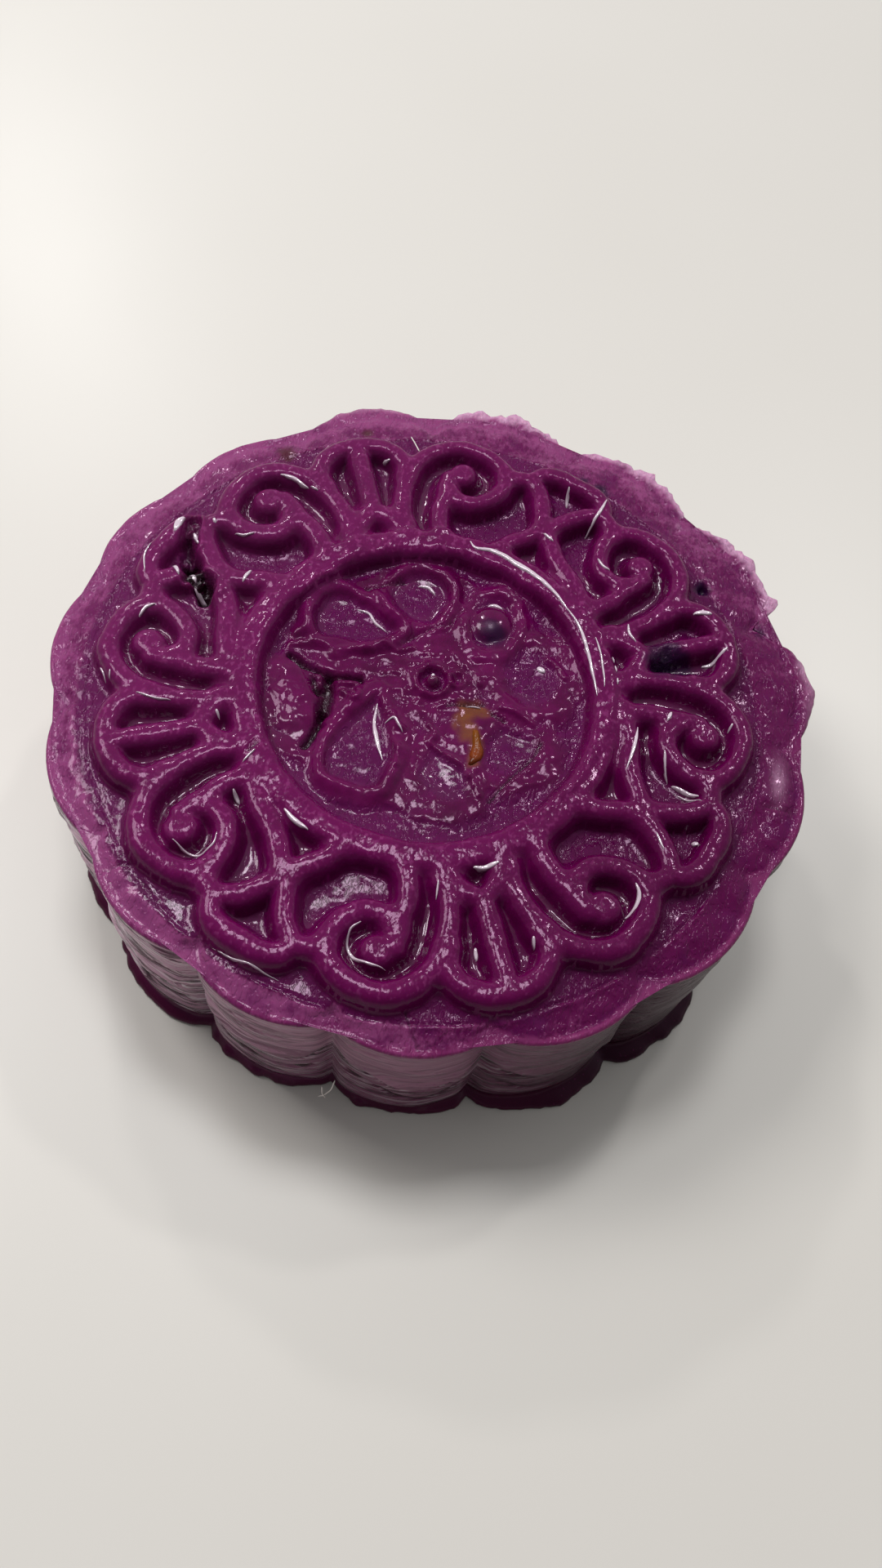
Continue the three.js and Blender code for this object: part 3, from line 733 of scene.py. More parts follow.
# ---- the skin of dough ----
# The side's section, from the lip at the top to the foot: height, inset from the rim, and how much
# of the lobes, the flash and the foot each row takes.
LIP = (
    (18.74, 0.42, 0.98, 0.16, 0),
    (18.75, 0.26, 1, 0.4, 0),
    (18.70, 0.13, 1, 0.68, 0),
    (18.60, 0.04, 1, 0.95, 0),
    (18.46, 0.0, 1, 1.0, 0),
    (18.32, 0.05, 1, 0.8, 0),
    (18.15, 0.12, 1, 0.35, 0),
    (17.9, 0.2, 1, 0.1, 0),
)
FOOT = (
    (1.7, 1.25, 0.97, 0, 0),
    (1.3, 1.38, 0.95, 0, 0.05),
    (1.0, 1.3, 0.93, 0, 0.35),
    (0.75, 1.12, 0.9, 0, 0.75),
    (0.5, 1.0, 0.9, 0, 0.96),
    (0.25, 0.97, 0.9, 0, 1.0),
    (0.06, 1.03, 0.9, 0, 0.95),
    (0.0, 1.3, 0.95, 0, 0.7),
    (0.0, 2.6, 1, 0, 0),
)
SIDE_ROWS = 50
# How high the side's thin layers end, on average.
LAYER_HEIGHTS = (3.0, 5.4, 8.2, 11.0, 13.6, 15.9)


def side_section():
    """All rows of the side's section, from the lip to the foot."""
    heights = np.linspace(17.9, 1.75, SIDE_ROWS + 2)[1:-1]
    insets = np.interp(heights, (1.75, 8.0, 17.4, 17.9), (1.2, 0.7, 0.18, 0.2))
    return LIP + tuple((z, inset, 1, 0, 0) for z, inset in zip(heights, insets)) + FOOT


def side_place(angle, row):
    """Places round the rim for one row of the side's section."""
    height, inset, lobed, flashed, footed = row
    turned = angle + sway(angle)
    reach = rim_radius(angle) - inset + lobed * lobe(angle) + flashed * flash(turned) + footed * foot(turned)
    return np.stack([reach * np.cos(turned), reach * np.sin(turned), np.full(len(angle), height)], 1)


def crumple(places):
    """How the side's skin is creased: its push outward, creases, smooth sheets that also carry a painted
    reflection of the floor, and what is under the fold.
    """
    turn = np.arctan2(places[:, 1], places[:, 0])
    left = toward(turn, 205, 50)
    level = places[:, 2]
    flat = places * (1, 1, 0)
    wavy = places + np.stack([0 * level, 0 * level, 0.9 * lumps(places, (5, 5, 8), 155, 2)], 1)
    front = toward(turn, 272, 40)
    fine = 1 - 0.7 * front
    creased = np.zeros(len(places))
    push = 0.14 * lumps(places, (7, 7, 3.4), 151, 2)
    push += fine * (0.05 + 0.07 * left) * lumps(wavy, (4.2, 4.2, 0.8), 161, 2)
    push += fine * (0.02 + 0.05 * left) * lumps(wavy, (2.6, 2.6, 0.42), 171, 2)
    for i, middle in enumerate(LAYER_HEIGHTS):
        wander = middle + 1.1 * lumps(flat, 6.5, 181 + i, 2)
        strength = ramp(lumps(flat, 5.0, 191 + i, 2), -0.15, 0.45)
        over = level - wander
        push += strength * (0.14 * bell(over, 0.45, 0.45) - 0.3 * bell(over, 0, 0.2))
        creased = np.maximum(creased, strength * bell(over, 0, 0.28))
    # A bold fold across each lobe at the front, bowed down in its middle.
    bulge = np.clip(lobe(turn - sway(turn)) / LOBE_RISE, 0, 1)
    fold = 10.4 - 2.6 * (bulge - 0.5) + 1.2 * lumps(flat, 5.0, 197, 2)
    over = level - fold
    bold = toward(turn, 262, 58) * ramp(bulge, 0.15, 0.6)
    push += bold * (0.3 * bell(over, 0.9, 0.8) - 0.5 * bell(over, 0, 0.4))
    second = over + 3.4 + 0.8 * lumps(flat, 3.0, 198, 2)
    push -= 0.3 * bold * bell(second, 0, 0.35)
    creased = np.maximum(creased * fine, bold * bell(over, 0, 0.5))
    creased = np.maximum(creased, bold * 0.8 * bell(second, 0, 0.4))
    under = toward(turn, 250, 62) * ramp(over, -0.1, -1.2)
    return push, creased, front * ramp(over, 0.0, 1.2), under


def hex_places(step, half, seed):
    """Places of a loose honeycomb over a square."""
    rows = int(half / (step * 0.866)) + 1
    columns = int(half / step) + 1
    j, i = (part.ravel() for part in np.mgrid[-rows : rows + 1, -columns : columns + 1])
    x = (i + 0.5 * (j % 2) + 0.2 * scatter(i, j, 0 * i, seed)) * step
    y = (j * 0.866 + 0.2 * scatter(i, j, 0 * i + 1, seed)) * step
    return x, y


def lip_share(x, y):
    """0 at the bead and 1 at the lip, for places on the band between them."""
    angle = np.arctan2(y, x)
    even = angle - sway(angle)
    row = side_section()[0]
    edge = rim_radius(even) - row[1] + row[2] * lobe(even) + row[3] * flash(angle)
    shift = PATTERN[0] * np.cos(angle) + PATTERN[1] * np.sin(angle)
    bead = shift + np.sqrt(shift**2 - PATTERN[0] ** 2 - PATTERN[1] ** 2 + BEAD_RADIUS**2)
    return 1 + (np.hypot(x, y) - edge) / np.maximum(edge - bead, 0.7)


def top_places(top, lip):
    """Places of the net inside the lip: close beside ridges and in the flower, wider elsewhere."""
    kept = []

    def keep(x, y, wanted):
        kept.append(np.stack([x[wanted], y[wanted]], 1))

    x, y = hex_places(TORN_NET, 30, 5)
    torn = np.zeros(len(x), bool)
    for line, half, _ in top.tears:
        box = (np.abs(x + 22) < 5) & (np.abs(y - 8) < 7)
        found = line.nearest(x[box], y[box])
        torn[box] |= found < half + 0.7
    keep(x, y, torn)
    x, y = hex_places(WALL_NET, 31, 1)
    even = top.even(x, y)
    gap = top.gap(x, y)
    patterned = (even > RING_RADIUS - 2.2) & (even < BEAD_RADIUS + 0.5)
    wall = (gap > 0.5) & (gap < 1.3) & patterned
    wall_x, wall_y = top.snap(x[wall], y[wall])
    kept.append(np.stack([wall_x, wall_y], 1))
    keep(x, y, ~wall & (np.abs(even - BEAD_RADIUS) < 0.6))
    x, y = hex_places(FLOWER_NET, 17, 2)
    even = top.even(x, y)
    keep(x, y, even < RING_RADIUS - 2.1)
    x, y = hex_places(CREST_NET, 31, 3)
    even = top.even(x, y)
    gap = top.gap(x, y)
    keep(x, y, (gap <= 0.54) & (even > RING_RADIUS - 2))
    x, y = hex_places(GROUND_NET, 36, 4)
    even = top.even(x, y)
    gap = top.gap(x, y)
    clear = (gap >= 1.3) & (np.abs(even - BEAD_RADIUS) >= 0.55)
    keep(x, y, clear & (even > RING_RADIUS) & (lip_share(x, y) < 0.94))
    places = np.concatenate(kept)
    cells = np.round(places / THIN_CELL).astype(np.int64)
    _, first = np.unique(cells[:, 0] * 100003 + cells[:, 1], return_index=True)
    places = places[np.sort(first)]
    x, y = places[:, 0], places[:, 1]
    from_lip = Line([lip]).nearest(x, y)
    return places[inside(x, y, lip) & (from_lip > LIP_CLEAR)]


def join_rows(inner, outer, z):
    """Triangles between two rows with as many places, cut the way that bends less."""
    ahead = np.roll(inner, -1)
    next_out = np.roll(outer, -1)
    cut = np.abs(z[inner] - z[next_out]) <= np.abs(z[outer] - z[ahead])
    first = np.stack([inner, outer, np.where(cut, next_out, ahead)], 1)
    second = np.stack([np.where(cut, inner, outer), next_out, ahead], 1)
    return [first, second]


def dough_skin(top):
    """Vertices, faces and finish masks of the whole cake's skin, in millimetres."""
    angle = math.radians(LOBE_START) + 2 * math.pi * np.arange(COLUMNS) / COLUMNS
    section = side_section()
    side_rows = [side_place(angle, row) for row in section]
    side = np.concatenate(side_rows)
    side_angle = np.arctan2(side[:, 1], side[:, 0])
    open_side = ramp(side[:, 2], 18.2, 17.0) * ramp(side[:, 2], 0.9, 2.2)
    low = ramp(side[:, 2], -0.1, 0.3) * ramp(side[:, 2], 2.4, 1.2)
    push, creased, sheet, under = crumple(side)
    push = push * open_side + 0.06 * lumps(side, 1.6, 211, 2) * low
    side[:, 0] += push * np.cos(side_angle)
    side[:, 1] += push * np.sin(side_angle)
    at_lip = ramp(side[:, 2], 18.0, 18.5)
    side[:, 2] += at_lip * (0.06 * lumps(side, 1.6, 221, 2) + 0.1 * lumps(side * (1, 1, 0), 7.0, 222, 1))
    thin = ramp(flash(side_angle), 0.25, 1.2) * at_lip
    side[:, 2] += thin * (0.14 * lumps(side, 1.3, 231, 2) + 0.14 * lumps(side, 0.7, 232, 1))

    lip = side[:COLUMNS]
    places = top_places(top, lip[:, :2])
    loop = [Vector((a, b)) for a, b in lip[:, :2].tolist()]
    inner = [Vector((a, b)) for a, b in places.tolist()]
    found, _, triangles, *_ = delaunay_2d_cdt(loop + inner, [], [list(range(COLUMNS))], 1, 1e-6, False)
    flat = np.array(found)
    triangles = np.array(triangles, int)
    x, y = flat[:, 0], flat[:, 1]
    seen = top.read(x, y)
    share = np.clip(lip_share(x, y), 0, 1)
    place = np.stack([x, y, 0 * x], 1)
    # The band between bead and lip slopes down, with a fine groove, wrinkles and a crease at each notch.
    z = seen["height"] - (FLOOR_HEIGHT - RIM_HEIGHT) * share**1.3
    z = z - 0.1 * bell(share, 0.88, 0.06)
    banded = ramp(share, 0.02, 0.1) * ramp(share, 1.0, 0.95)
    z = z + banded * (0.09 * lumps(place, 2.2, 201, 2) + 0.05 * lumps(place * (1.2, 0.8, 1), 0.8, 202, 1))
    z = z + banded * 0.12 * (0.6 - np.abs(lumps(place, 2.2, 203, 2)))
    turn = np.arctan2(y, x)
    lobes = (turn - sway(turn) - math.radians(LOBE_START)) / math.radians(360 / LOBES)
    from_notch = (np.mod(lobes + 0.5, 1) - 0.5) * LOBE_WIDTH
    z = z - 0.2 * bell(from_notch, 0, 0.3) * ramp(share, 0.45, 0.95)
    z[:COLUMNS] = lip[:, 2]
    a, b, c = (flat[triangles[:, k]] for k in range(3))
    (bx, by), (cx, cy) = (b - a).T, (c - a).T
    turned = bx * cy - by * cx < 0
    triangles[turned] = triangles[turned][:, ::-1]

    top_count = len(x)
    rest = side[COLUMNS:]
    vertices = np.concatenate([np.stack([x, y, z], 1), rest, [[0, 0, 0]]])
    total = len(vertices)
    faces = [triangles]
    row = np.arange(COLUMNS)
    loops = [row] + [top_count + COLUMNS * k + row for k in range(len(section) - 1)]
    for upper, lower in zip(loops[:-1], loops[1:]):
        faces += join_rows(upper, lower, vertices[:, 2])
    last = loops[-1]
    faces.append(np.stack([last, 0 * last + total - 1, np.roll(last, -1)], 1))
    side_parts = {"crease": creased, "sheet": sheet, "under": under}
    return vertices, np.concatenate(faces), skin_masks(vertices, seen, share, side_parts)


def skin_masks(vertices, seen, share, side_parts):
    """How much of each finish lies at each vertex; the top's vertices come first."""
    total, top_count = len(vertices), len(share)
    x, y = vertices[:top_count, 0], vertices[:top_count, 1]
    angle = np.arctan2(vertices[:, 1], vertices[:, 0])
    top_angle, side_angle = angle[:top_count], angle[top_count:]
    tall = vertices[top_count:, 2]

    masks = {name: np.zeros(total) for name in MASKS}
    for name in ("crest", "ground", "hollow", "wet", "tear", "stain", "brown", "custard", "foil"):
        masks[name][:top_count] = seen[name]
    band = ramp(share, 0.0, 0.05)
    masks["ground"][:top_count] *= 1 - band
    masks["band"][:top_count] = band
    masks["lip"][:top_count] = ramp(share, 0.98, 1.0)
    masks["edge"][:top_count] = ramp(share, 0.3, 1.0)
    masks["edge"][top_count:] = ramp(tall, 18.0, 18.3)
    masks["lip"][top_count:] = ramp(tall, 18.3, 18.55)
    masks["band"][top_count:] = ramp(tall, 18.0, 18.3)
    masks["side"][top_count:] = ramp(tall, 18.5, 18.1) * ramp(tall, 1.0, 2.0)
    # Painted shade: the foot's dark reaches higher at the right, where the foot lies in shadow.
    footed = 3.0 * toward(side_angle, FOOT_RIGHT, 26) + 0.2 * toward(side_angle, FOOT_LEFT, 24)
    masks["foot"][top_count:] = ramp(tall - footed, 1.3, 0.5)
    for name, values in side_parts.items():
        masks[name][top_count:-1] = values[COLUMNS:]
    # Painted sheen: the band is paler at the front, where it mirrors the soft lamp; the rest of the mask adds
    # gloss.
    painted_sheen_band = 0.8 * toward(angle, -108, 40) * masks["band"] * (masks["lip"] < 0.1)
    masks["foil"] = np.maximum(masks["foil"], painted_sheen_band)
    masks["calm"] = away_ramp(angle, -115, 70, 110)
    # Painted light: the side is paler and silvery at the left, and the top toward the far left, where the
    # light falls.
    masks["gleam"] = toward(angle, 205, 50)
    # Painted shade: the side is darker toward the right, and the top toward the front right.
    masks["shade"] = toward(angle, -25, 42)
    outward = ramp(np.hypot(x, y), 8, 24)
    masks["shade"][:top_count] = outward * toward(top_angle, -32, 58)
    masks["gleam"][:top_count] = outward * toward(top_angle, 155, 62)
    masks["lip"] *= 0.1 + 0.9 * toward(angle, -50, 55)
    masks["edge"] *= 0.15 + 0.85 * toward(angle, 130, 80)
    # The flash is pale where it stands out past the lobes; one pale spot on the right of the band is a
    # painted highlight.
    beyond = np.hypot(vertices[:, 0], vertices[:, 1]) - rim_radius(angle) - lobe(angle)
    beyond += 0.35 * lumps(vertices, 0.9, 233, 2)
    fringe = 0.3 + 0.7 * away_ramp(angle, 58, 50, 34)
    high = ramp(vertices[:, 2], 17.4, 18.2)
    spot = bell(vertices[:, 0], 30.2, 0.6) * bell(vertices[:, 1], -2.4, 1.7)
    masks["flash"] = 0.5 * spot + fringe * flash_share(angle) * ramp(beyond, -0.1, 0.7) * high
    return masks


# ---- meshes ----
# How far a film's edge dips into the dough, and how far its underside lies in it.
EDGE_DIP = 0.06
UNDER_DIP = 0.3
# The half widths along a film, in shares of its widest.
FILM_HALVES = (0.2, 0.72, 0.85, 0.7, 0.15)
SMEAR_PATH = [(4.25, -3.2), (4.5, -4.2), (4.7, -5.2), (4.6, -6.1), (4.3, -6.8)]
SMEAR_HALVES = (0.2, 0.4, 0.54, 0.5, 0.2)
STRANDS = (
    [(-1.9, -31.0, 7.4), (-2.1, -31.5, 6.2), (-2.6, -31.7, 5.2), (-3.1, -31.7, 4.4)],
    [(-2.9, -31.4, 6.4), (-2.8, -31.7, 5.4), (-2.5, -31.7, 4.4)],
    [(-6.4, 27.5, 19.75), (-5.9, 26.6, 20.0), (-5.3, 25.4, 20.3)],
)
FIBRE_RINGS = 28
FIBRE_SIDES = 6


def make_piece(name, vertices, faces, material, masks=None):
    """A smooth mesh object from millimetres, with one number a vertex for each mask."""
    mesh = bpy.data.meshes.new(name)
    vertices = np.asarray(vertices, np.float32) * MM
    faces = np.asarray(faces, np.int32)
    mesh.vertices.add(len(vertices))
    mesh.vertices.foreach_set("co", vertices.ravel())
    mesh.loops.add(faces.size)
    mesh.loops.foreach_set("vertex_index", faces.ravel())
    mesh.polygons.add(len(faces))
    mesh.polygons.foreach_set("loop_start", np.arange(0, faces.size, faces.shape[1], dtype=np.int32))
    mesh.update(calc_edges=True)
    mesh.validate()
    mesh.polygons.foreach_set("use_smooth", np.ones(len(mesh.polygons), bool))
    for mask, values in (masks or {}).items():
        layer = mesh.attributes.new(mask, "FLOAT", "POINT")
        layer.data.foreach_set("value", np.asarray(values, np.float32))
    mesh.materials.append(material)
    piece = bpy.data.objects.new(name, mesh)
    bpy.context.scene.collection.objects.link(piece)
    return piece


def join_parts(parts):
    """One array of points and one of faces from many pairs of them."""
    starts = np.cumsum([0] + [len(points) for points, _ in parts[:-1]])
    faces = [faces + start for (_, faces), start in zip(parts, starts)]
    return np.concatenate([points for points, _ in parts]), np.concatenate(faces)


def blanket(top, path, halves, thickness, columns, seed=0, blunt=4.0):
    """A thin puddle along a path: it lies on the dough, is thickest in the middle and thins to nothing."""
    middle = curve(path, 0.13)
    along = np.linspace(0, 1, len(middle))
    half = np.interp(along, np.linspace(0, 1, len(halves)), halves)
    ahead = np.gradient(middle, axis=0)
    ahead /= np.linalg.norm(ahead, axis=1)[:, None]
    beside = np.stack([-ahead[:, 1], ahead[:, 0]], 1)
    across = np.linspace(-1, 1, columns)
    spot = np.concatenate([middle, 0 * middle[:, :1]], 1)
    left, right = (1 + 0.22 * lumps(spot, 1.1, first + seed, 2) for first in (300, 310))
    reach = np.where(across[None] < 0, left[:, None], right[:, None]) * half[:, None] * across[None]
    place = middle[:, None] + beside[:, None] * reach[..., None]
    flat = place.reshape(-1, 2)
    ground = top.read(flat[:, 0], flat[:, 1])["height"].reshape(len(middle), columns)
    level = ground[:, columns // 4 : -columns // 4].mean(1)
    for _ in range(6):
        level[1:-1] = (level[:-2] + level[1:-1] + level[2:]) / 3
    dome = 1 - np.abs(across[None]) ** blunt
    ends = np.clip(np.minimum(along, 1 - along) / 0.15, 0, 1)[:, None] ** 0.5
    calm = level[:, None] + thickness * dome * ends
    # The edges dip into the dough, and the underside lies well inside it.
    upper = np.where(np.abs(across[None]) > 0.99, np.minimum(calm, ground) - EDGE_DIP, calm)
    upper[[0, -1]] = np.minimum(ground[[0, -1]], upper[[0, -1]]) - EDGE_DIP
    lower = np.minimum(ground, upper) - UNDER_DIP
    rows = len(middle)
    points = np.concatenate([np.dstack([place, part]).reshape(-1, 3) for part in (upper, lower)])
    index = np.arange(rows * columns).reshape(rows, columns)
    below = index + rows * columns
    quads = [
        (index[:-1, :-1], index[:-1, 1:], index[1:, 1:], index[1:, :-1]),
        (below[:-1, :-1], below[1:, :-1], below[1:, 1:], below[:-1, 1:]),
        (index[:-1, 0], index[1:, 0], below[1:, 0], below[:-1, 0]),
        (index[1:, -1], index[:-1, -1], below[:-1, -1], below[1:, -1]),
        (index[0, 1:], index[0, :-1], below[0, :-1], below[0, 1:]),
        (index[-1, :-1], index[-1, 1:], below[-1, 1:], below[-1, :-1]),
    ]
    faces = np.concatenate([np.stack([part.ravel() for part in quad], 1) for quad in quads])
    # How near the middle each point lies; a film is painted pale there as a glint.
    core = np.tile(np.tile(1 - np.abs(across), len(middle)), 2)
    return points, faces[:, ::-1], np.tile(np.repeat(along, columns), 2), core


# ---- finishes ----
def tint(red, green, blue):
    """A colour as the eye reads it, 0 to 255, turned to light."""
    parts = np.array([red, green, blue]) / 255
    light = np.where(parts <= 0.04045, parts / 12.92, ((parts + 0.055) / 1.055) ** 2.4)
    return tuple(float(v) for v in light)


class Amount:
    """One value of a finish: sums written with it become Math nodes."""

    def __init__(self, finish, socket):
        self.finish = finish
        self.socket = socket

    def _with(self, operation, first, second):
        return self.finish.node("ShaderNodeMath", {"operation": operation}, {0: first, 1: second})

    def __add__(self, other):
        return self._with("ADD", self, other)

    def __radd__(self, other):
        return self._with("ADD", other, self)

    def __sub__(self, other):
        return self._with("SUBTRACT", self, other)

    def __rsub__(self, other):
        return self._with("SUBTRACT", other, self)

    def __mul__(self, other):
        return self._with("MULTIPLY", self, other)

    def __rmul__(self, other):
        return self._with("MULTIPLY", other, self)

    def ramp(self, low, high):
        """0 at low, 1 at high and smooth between them."""
        sockets = {"Value": self, "From Min": low, "From Max": high}
        return self.finish.node("ShaderNodeMapRange", {"interpolation_type": "SMOOTHSTEP"}, sockets, "Result")


class Finish:
    """A material built from nodes, with one shader."""

    def __init__(self, name, **constants):
        self.material = bpy.data.materials.new(name)
        self.material.use_nodes = True
        self.tree = self.material.node_tree
        self.tree.nodes.clear()
        self.shader = self.tree.nodes.new("ShaderNodeBsdfPrincipled")
        output = self.tree.nodes.new("ShaderNodeOutputMaterial")
        self.tree.links.new(self.shader.outputs[0], output.inputs["Surface"])
        for socket, value in constants.items():
            self.shader.inputs[socket.replace("_", " ")].default_value = value
        coordinates = self.tree.nodes.new("ShaderNodeTexCoord")
        self.place = Amount(self, coordinates.outputs["Object"])

    def node(self, kind, settings, sockets, output=0):
        """One output of a new node with these settings; values are set on its sockets or linked to them."""
        new = self.tree.nodes.new(kind)
        for name, value in settings.items():
            setattr(new, name, value)
        for name, value in sockets.items():
            self.feed(new.inputs[name], value)
        return Amount(self, new.outputs[output])

    def feed(self, socket, value):
        """Link an amount to a socket, or set a number or colour on it."""
        if isinstance(value, Amount):
            self.tree.links.new(value.socket, socket)
        elif socket.type == "RGBA":
            socket.default_value = (*value, 1)
        else:
            socket.default_value = value

    def mask(self, name):
        """A mask of the mesh, by its name."""
        settings = {"attribute_type": "GEOMETRY", "attribute_name": name}
        return self.node("ShaderNodeAttribute", settings, {}, "Fac")

    def noise(self, size, detail=2.0, rough=0.5, place=None, twist=0.0):
        """Noise from 0 to 1 with lumps of about size millimetres, drawn into swirls by twist."""
        sockets = {"Scale": 1 / (size * MM), "Detail": detail, "Roughness": rough, "Distortion": twist}
        sockets["Vector"] = place or self.place
        return self.node("ShaderNodeTexNoise", {"noise_dimensions": "3D"}, sockets, "Fac")

    def stretched(self, x, y, z):
        """The place with each axis drawn out, for grain that runs one way."""
        return self.node("ShaderNodeVectorMath", {"operation": "MULTIPLY"}, {0: self.place, 1: (x, y, z)})

    def colour(self, factor, first, second):
        """The first colour, turned to the second as far as the factor says."""
        sockets = {"Factor": factor, 6: first, 7: second}
        return self.node("ShaderNodeMix", {"data_type": "RGBA"}, sockets, 2)

    def coats(self, base, *coats):
        """A colour with others laid over it in turn, each as far as its factor says."""
        for factor, tone in coats:
            base = self.colour(factor, base, tone)
        return base

    def set(self, **sockets):
        """Set or link the shader's sockets, and give the material back."""
        for name, value in sockets.items():
            self.feed(self.shader.inputs[name.replace("_", " ")], value)
        return self.material

    def bump(self, height, depth):
        """Height 0 to 1 stands for depth millimetres."""
        sockets = {"Strength": 1.0, "Distance": depth * MM, "Height": height}
        return self.node("ShaderNodeBump", {}, sockets, "Normal")


def dough_finish(cake):
    """The dough's finish: coats of colour over the skin's masks, gloss where it is wet, and fine grain."""
    finish = Finish(
        "glossy_dough",
        Subsurface_Weight=0.14,
        Subsurface_Radius=(1.0, 0.12, 0.35),
        Subsurface_Scale=0.0012,
        Specular_IOR_Level=0.2,
        Specular_Tint=(1.0, 0.66, 0.92, 1.0),
        Coat_Roughness=0.08,
        Coat_IOR=1.4,
    )
    masks = [finish.mask(name) for name in MASKS]
    crest, ground, hollow, wet, tear, stain, brown, custard, band, side = masks[:10]
    footed, lip, flashed, foil, edge, crease, sheet, under, calm, shade, gleam = masks[10:]

    mottle = finish.noise(5.5, 3, 0.6)
    patches = finish.noise(2.4, 3, 0.6)
    speckle = finish.noise(0.8, 3, 0.6)
    dots = finish.noise(0.28, 1, 0.5)
    fleck_and_glint = finish.noise(0.45, 3, 0.65, finish.stretched(1.2, 0.7, 1.0))
    fine = finish.noise(0.46, 1.0, 0.5, finish.stretched(1.2, 0.85, 1.0))
    layers = finish.noise(1.5, 4, 0.62, finish.stretched(0.16, 0.16, 1.3), 1.2)
    threads = finish.noise(0.5, 3, 0.65, finish.stretched(0.12, 0.12, 1.3), 0.8)

    # The side wall: thin layers, pale threads and sheets, with painted light and a painted reflection making
    # it paler at the left and on the sheets, and painted shade darkening it at the right and in the creases.
    # The pale threads are painted near white as highlights: more at the left, where the light falls, fewer at
    # the right.
    threads_and_glints = threads.ramp(0.48, 0.66) * (0.5 - sheet * 0.35 + gleam * 0.6) * (1 - shade * 0.8)
    # Painted light and reflection: the side turns paler and silvery toward the left.
    lit = finish.colour(gleam, cake.side, cake.gleam)
    wall = finish.coats(
        finish.colour(layers.ramp(0.44, 0.53), cake.side_dark_and_shade, lit),
        (threads_and_glints, cake.side_pale_and_glint),
        # The smooth sheets of the front lobes, paler as a painted reflection of the floor.
        (sheet * (0.45 + 0.35 * threads), cake.sheet),
        (under * (0.45 + 0.5 * layers) * (1 - gleam * 0.6), cake.under),
        (calm * 0.6, cake.side),
        # Painted shade: the wall is darker at the right and in its creases.
        (shade.ramp(0.0, 0.75) * 0.92, cake.side_dark_and_shade),
        (crease.ramp(0.15, 0.6), cake.side_dark_and_shade),
    )

    # The top and its band, then the side and the foot, then what soaks and tears the dough, with painted
    # shade in its cracks, holes and dark spots.
    # The band's paler flecks and edge, with painted sheen at the front and less paleness in the painted shade
    # at the right.
    paled = (fleck_and_glint * 0.9 + edge * 0.4 + patches * 0.9 + foil * 0.55 - shade * 0.4).ramp(0.75, 1.25)
    # Painted highlights: pale flecks along the crests, fewer at the right.
    crest_glints = crest.ramp(0.8, 1.0) * fine.ramp(0.52, 0.72) * (1 - tear) * (1 - stain)
    dough = finish.coats(
        finish.colour((mottle + speckle * 0.5).ramp(0.45, 1.0), cake.deep, cake.dough),
        (crest * (0.35 + 0.3 * speckle), cake.light),
        (ground * (0.3 + 0.5 * speckle), cake.ground),
        (hollow * 0.2, cake.ground),
        # Painted shade: the top is darker toward the front right.
        (shade * 0.5, cake.deep),
        (band * 0.9, cake.band),
        (band * paled, cake.band_pale_and_light),
        # Painted shade and light on the band: more of the ground's tone and the deep tone at the right, less
        # at the left.
        (band * patches.ramp(0.52, 0.3) * (0.5 + shade * 0.4 - gleam * 0.3), cake.ground),
        (band * shade * 0.22, cake.deep),
        # Painted light: the top and band are paler toward the left.
        (gleam * (1 - side) * (0.14 + band * 0.04), cake.band_pale_and_light),
        (lip * (0.3 + 0.5 * speckle), cake.lip),
        (flashed * (0.2 + fleck_and_glint * 1.1), cake.flash),
        (side, wall),
        # The foot, darker at the right as painted shade.
        (footed, finish.colour(shade.ramp(0.2, 0.8), cake.foot, cake.side_dark_and_shade)),
        (custard * (0.3 + 0.7 * speckle), cake.soaked),
        # Torn dough, and painted shade in the cracks and holes.
        (tear, cake.torn),
        # Painted shade in the dark spots.
        (stain * 0.85, cake.stain),
        (brown * 0.85, cake.brown),
        ((dots - 0.66).ramp(0.0, 0.1) * 0.3, cake.light),
        # Painted highlights along the crests.
        (crest_glints * (0.34 - 0.2 * shade), cake.fleck_and_glint),
    )

    # Fine dimples on the crests, foil-like wrinkles on pressed ground, layers on the side.
    net = finish.noise(1.2, 2.5, 0.6, finish.stretched(1.5, 0.7, 1.0)) - 0.5
    creased = finish.noise(0.7, 1.5, 0.5, finish.stretched(1.4, 0.7, 1.0))
    wrinkle = (net * net).ramp(0.0, 0.006) * 0.5 + creased * 0.5
    pressed = ground * 0.9 + hollow * 0.15 + band * 0.75
    grain = fine * (0.16 + 0.22 * crest) * (1 - pressed * 0.6) + wrinkle * pressed
    layered = side * (layers * 3.4 + threads * 1.3) * (1 - sheet * 0.75) * (1 - calm * 0.5)
    grain = grain * (1 - wet * 0.92) * (1 - stain * 0.8) + tear * speckle * 6 + layered
    rough = 0.13 - 0.04 * wet + 0.14 * side + stain * 0.16
    return finish.set(
        Base_Color=dough,
        Roughness=rough,
        Coat_Weight=wet * 0.7 + foil * 0.42 + tear * 0.6,
        Normal=finish.bump(grain, cake.grain_depth / MM),
    )


def custard_finish(custard):
    """Custard from pale to amber, with a brown tip."""
    finish = Finish(
        "custard",
        Subsurface_Weight=0.15,
        Subsurface_Radius=(1.0, 0.6, 0.2),
        Subsurface_Scale=0.0008,
        Specular_IOR_Level=0.25,
    )
    along = finish.mask("along")
    blot = finish.noise(0.9, 3, 0.6)
    tone = finish.colour((along + blot * 0.35).ramp(0.35, 0.85), custard.pale, custard.amber)
    tone = finish.colour(along.ramp(0.72, 0.98) * 0.8, tone, custard.brown)
    bump = finish.bump(finish.noise(0.35, 3, 0.6), 0.05)
    return finish.set(Base_Color=tone, Roughness=0.12 + blot * 0.12, Normal=bump)


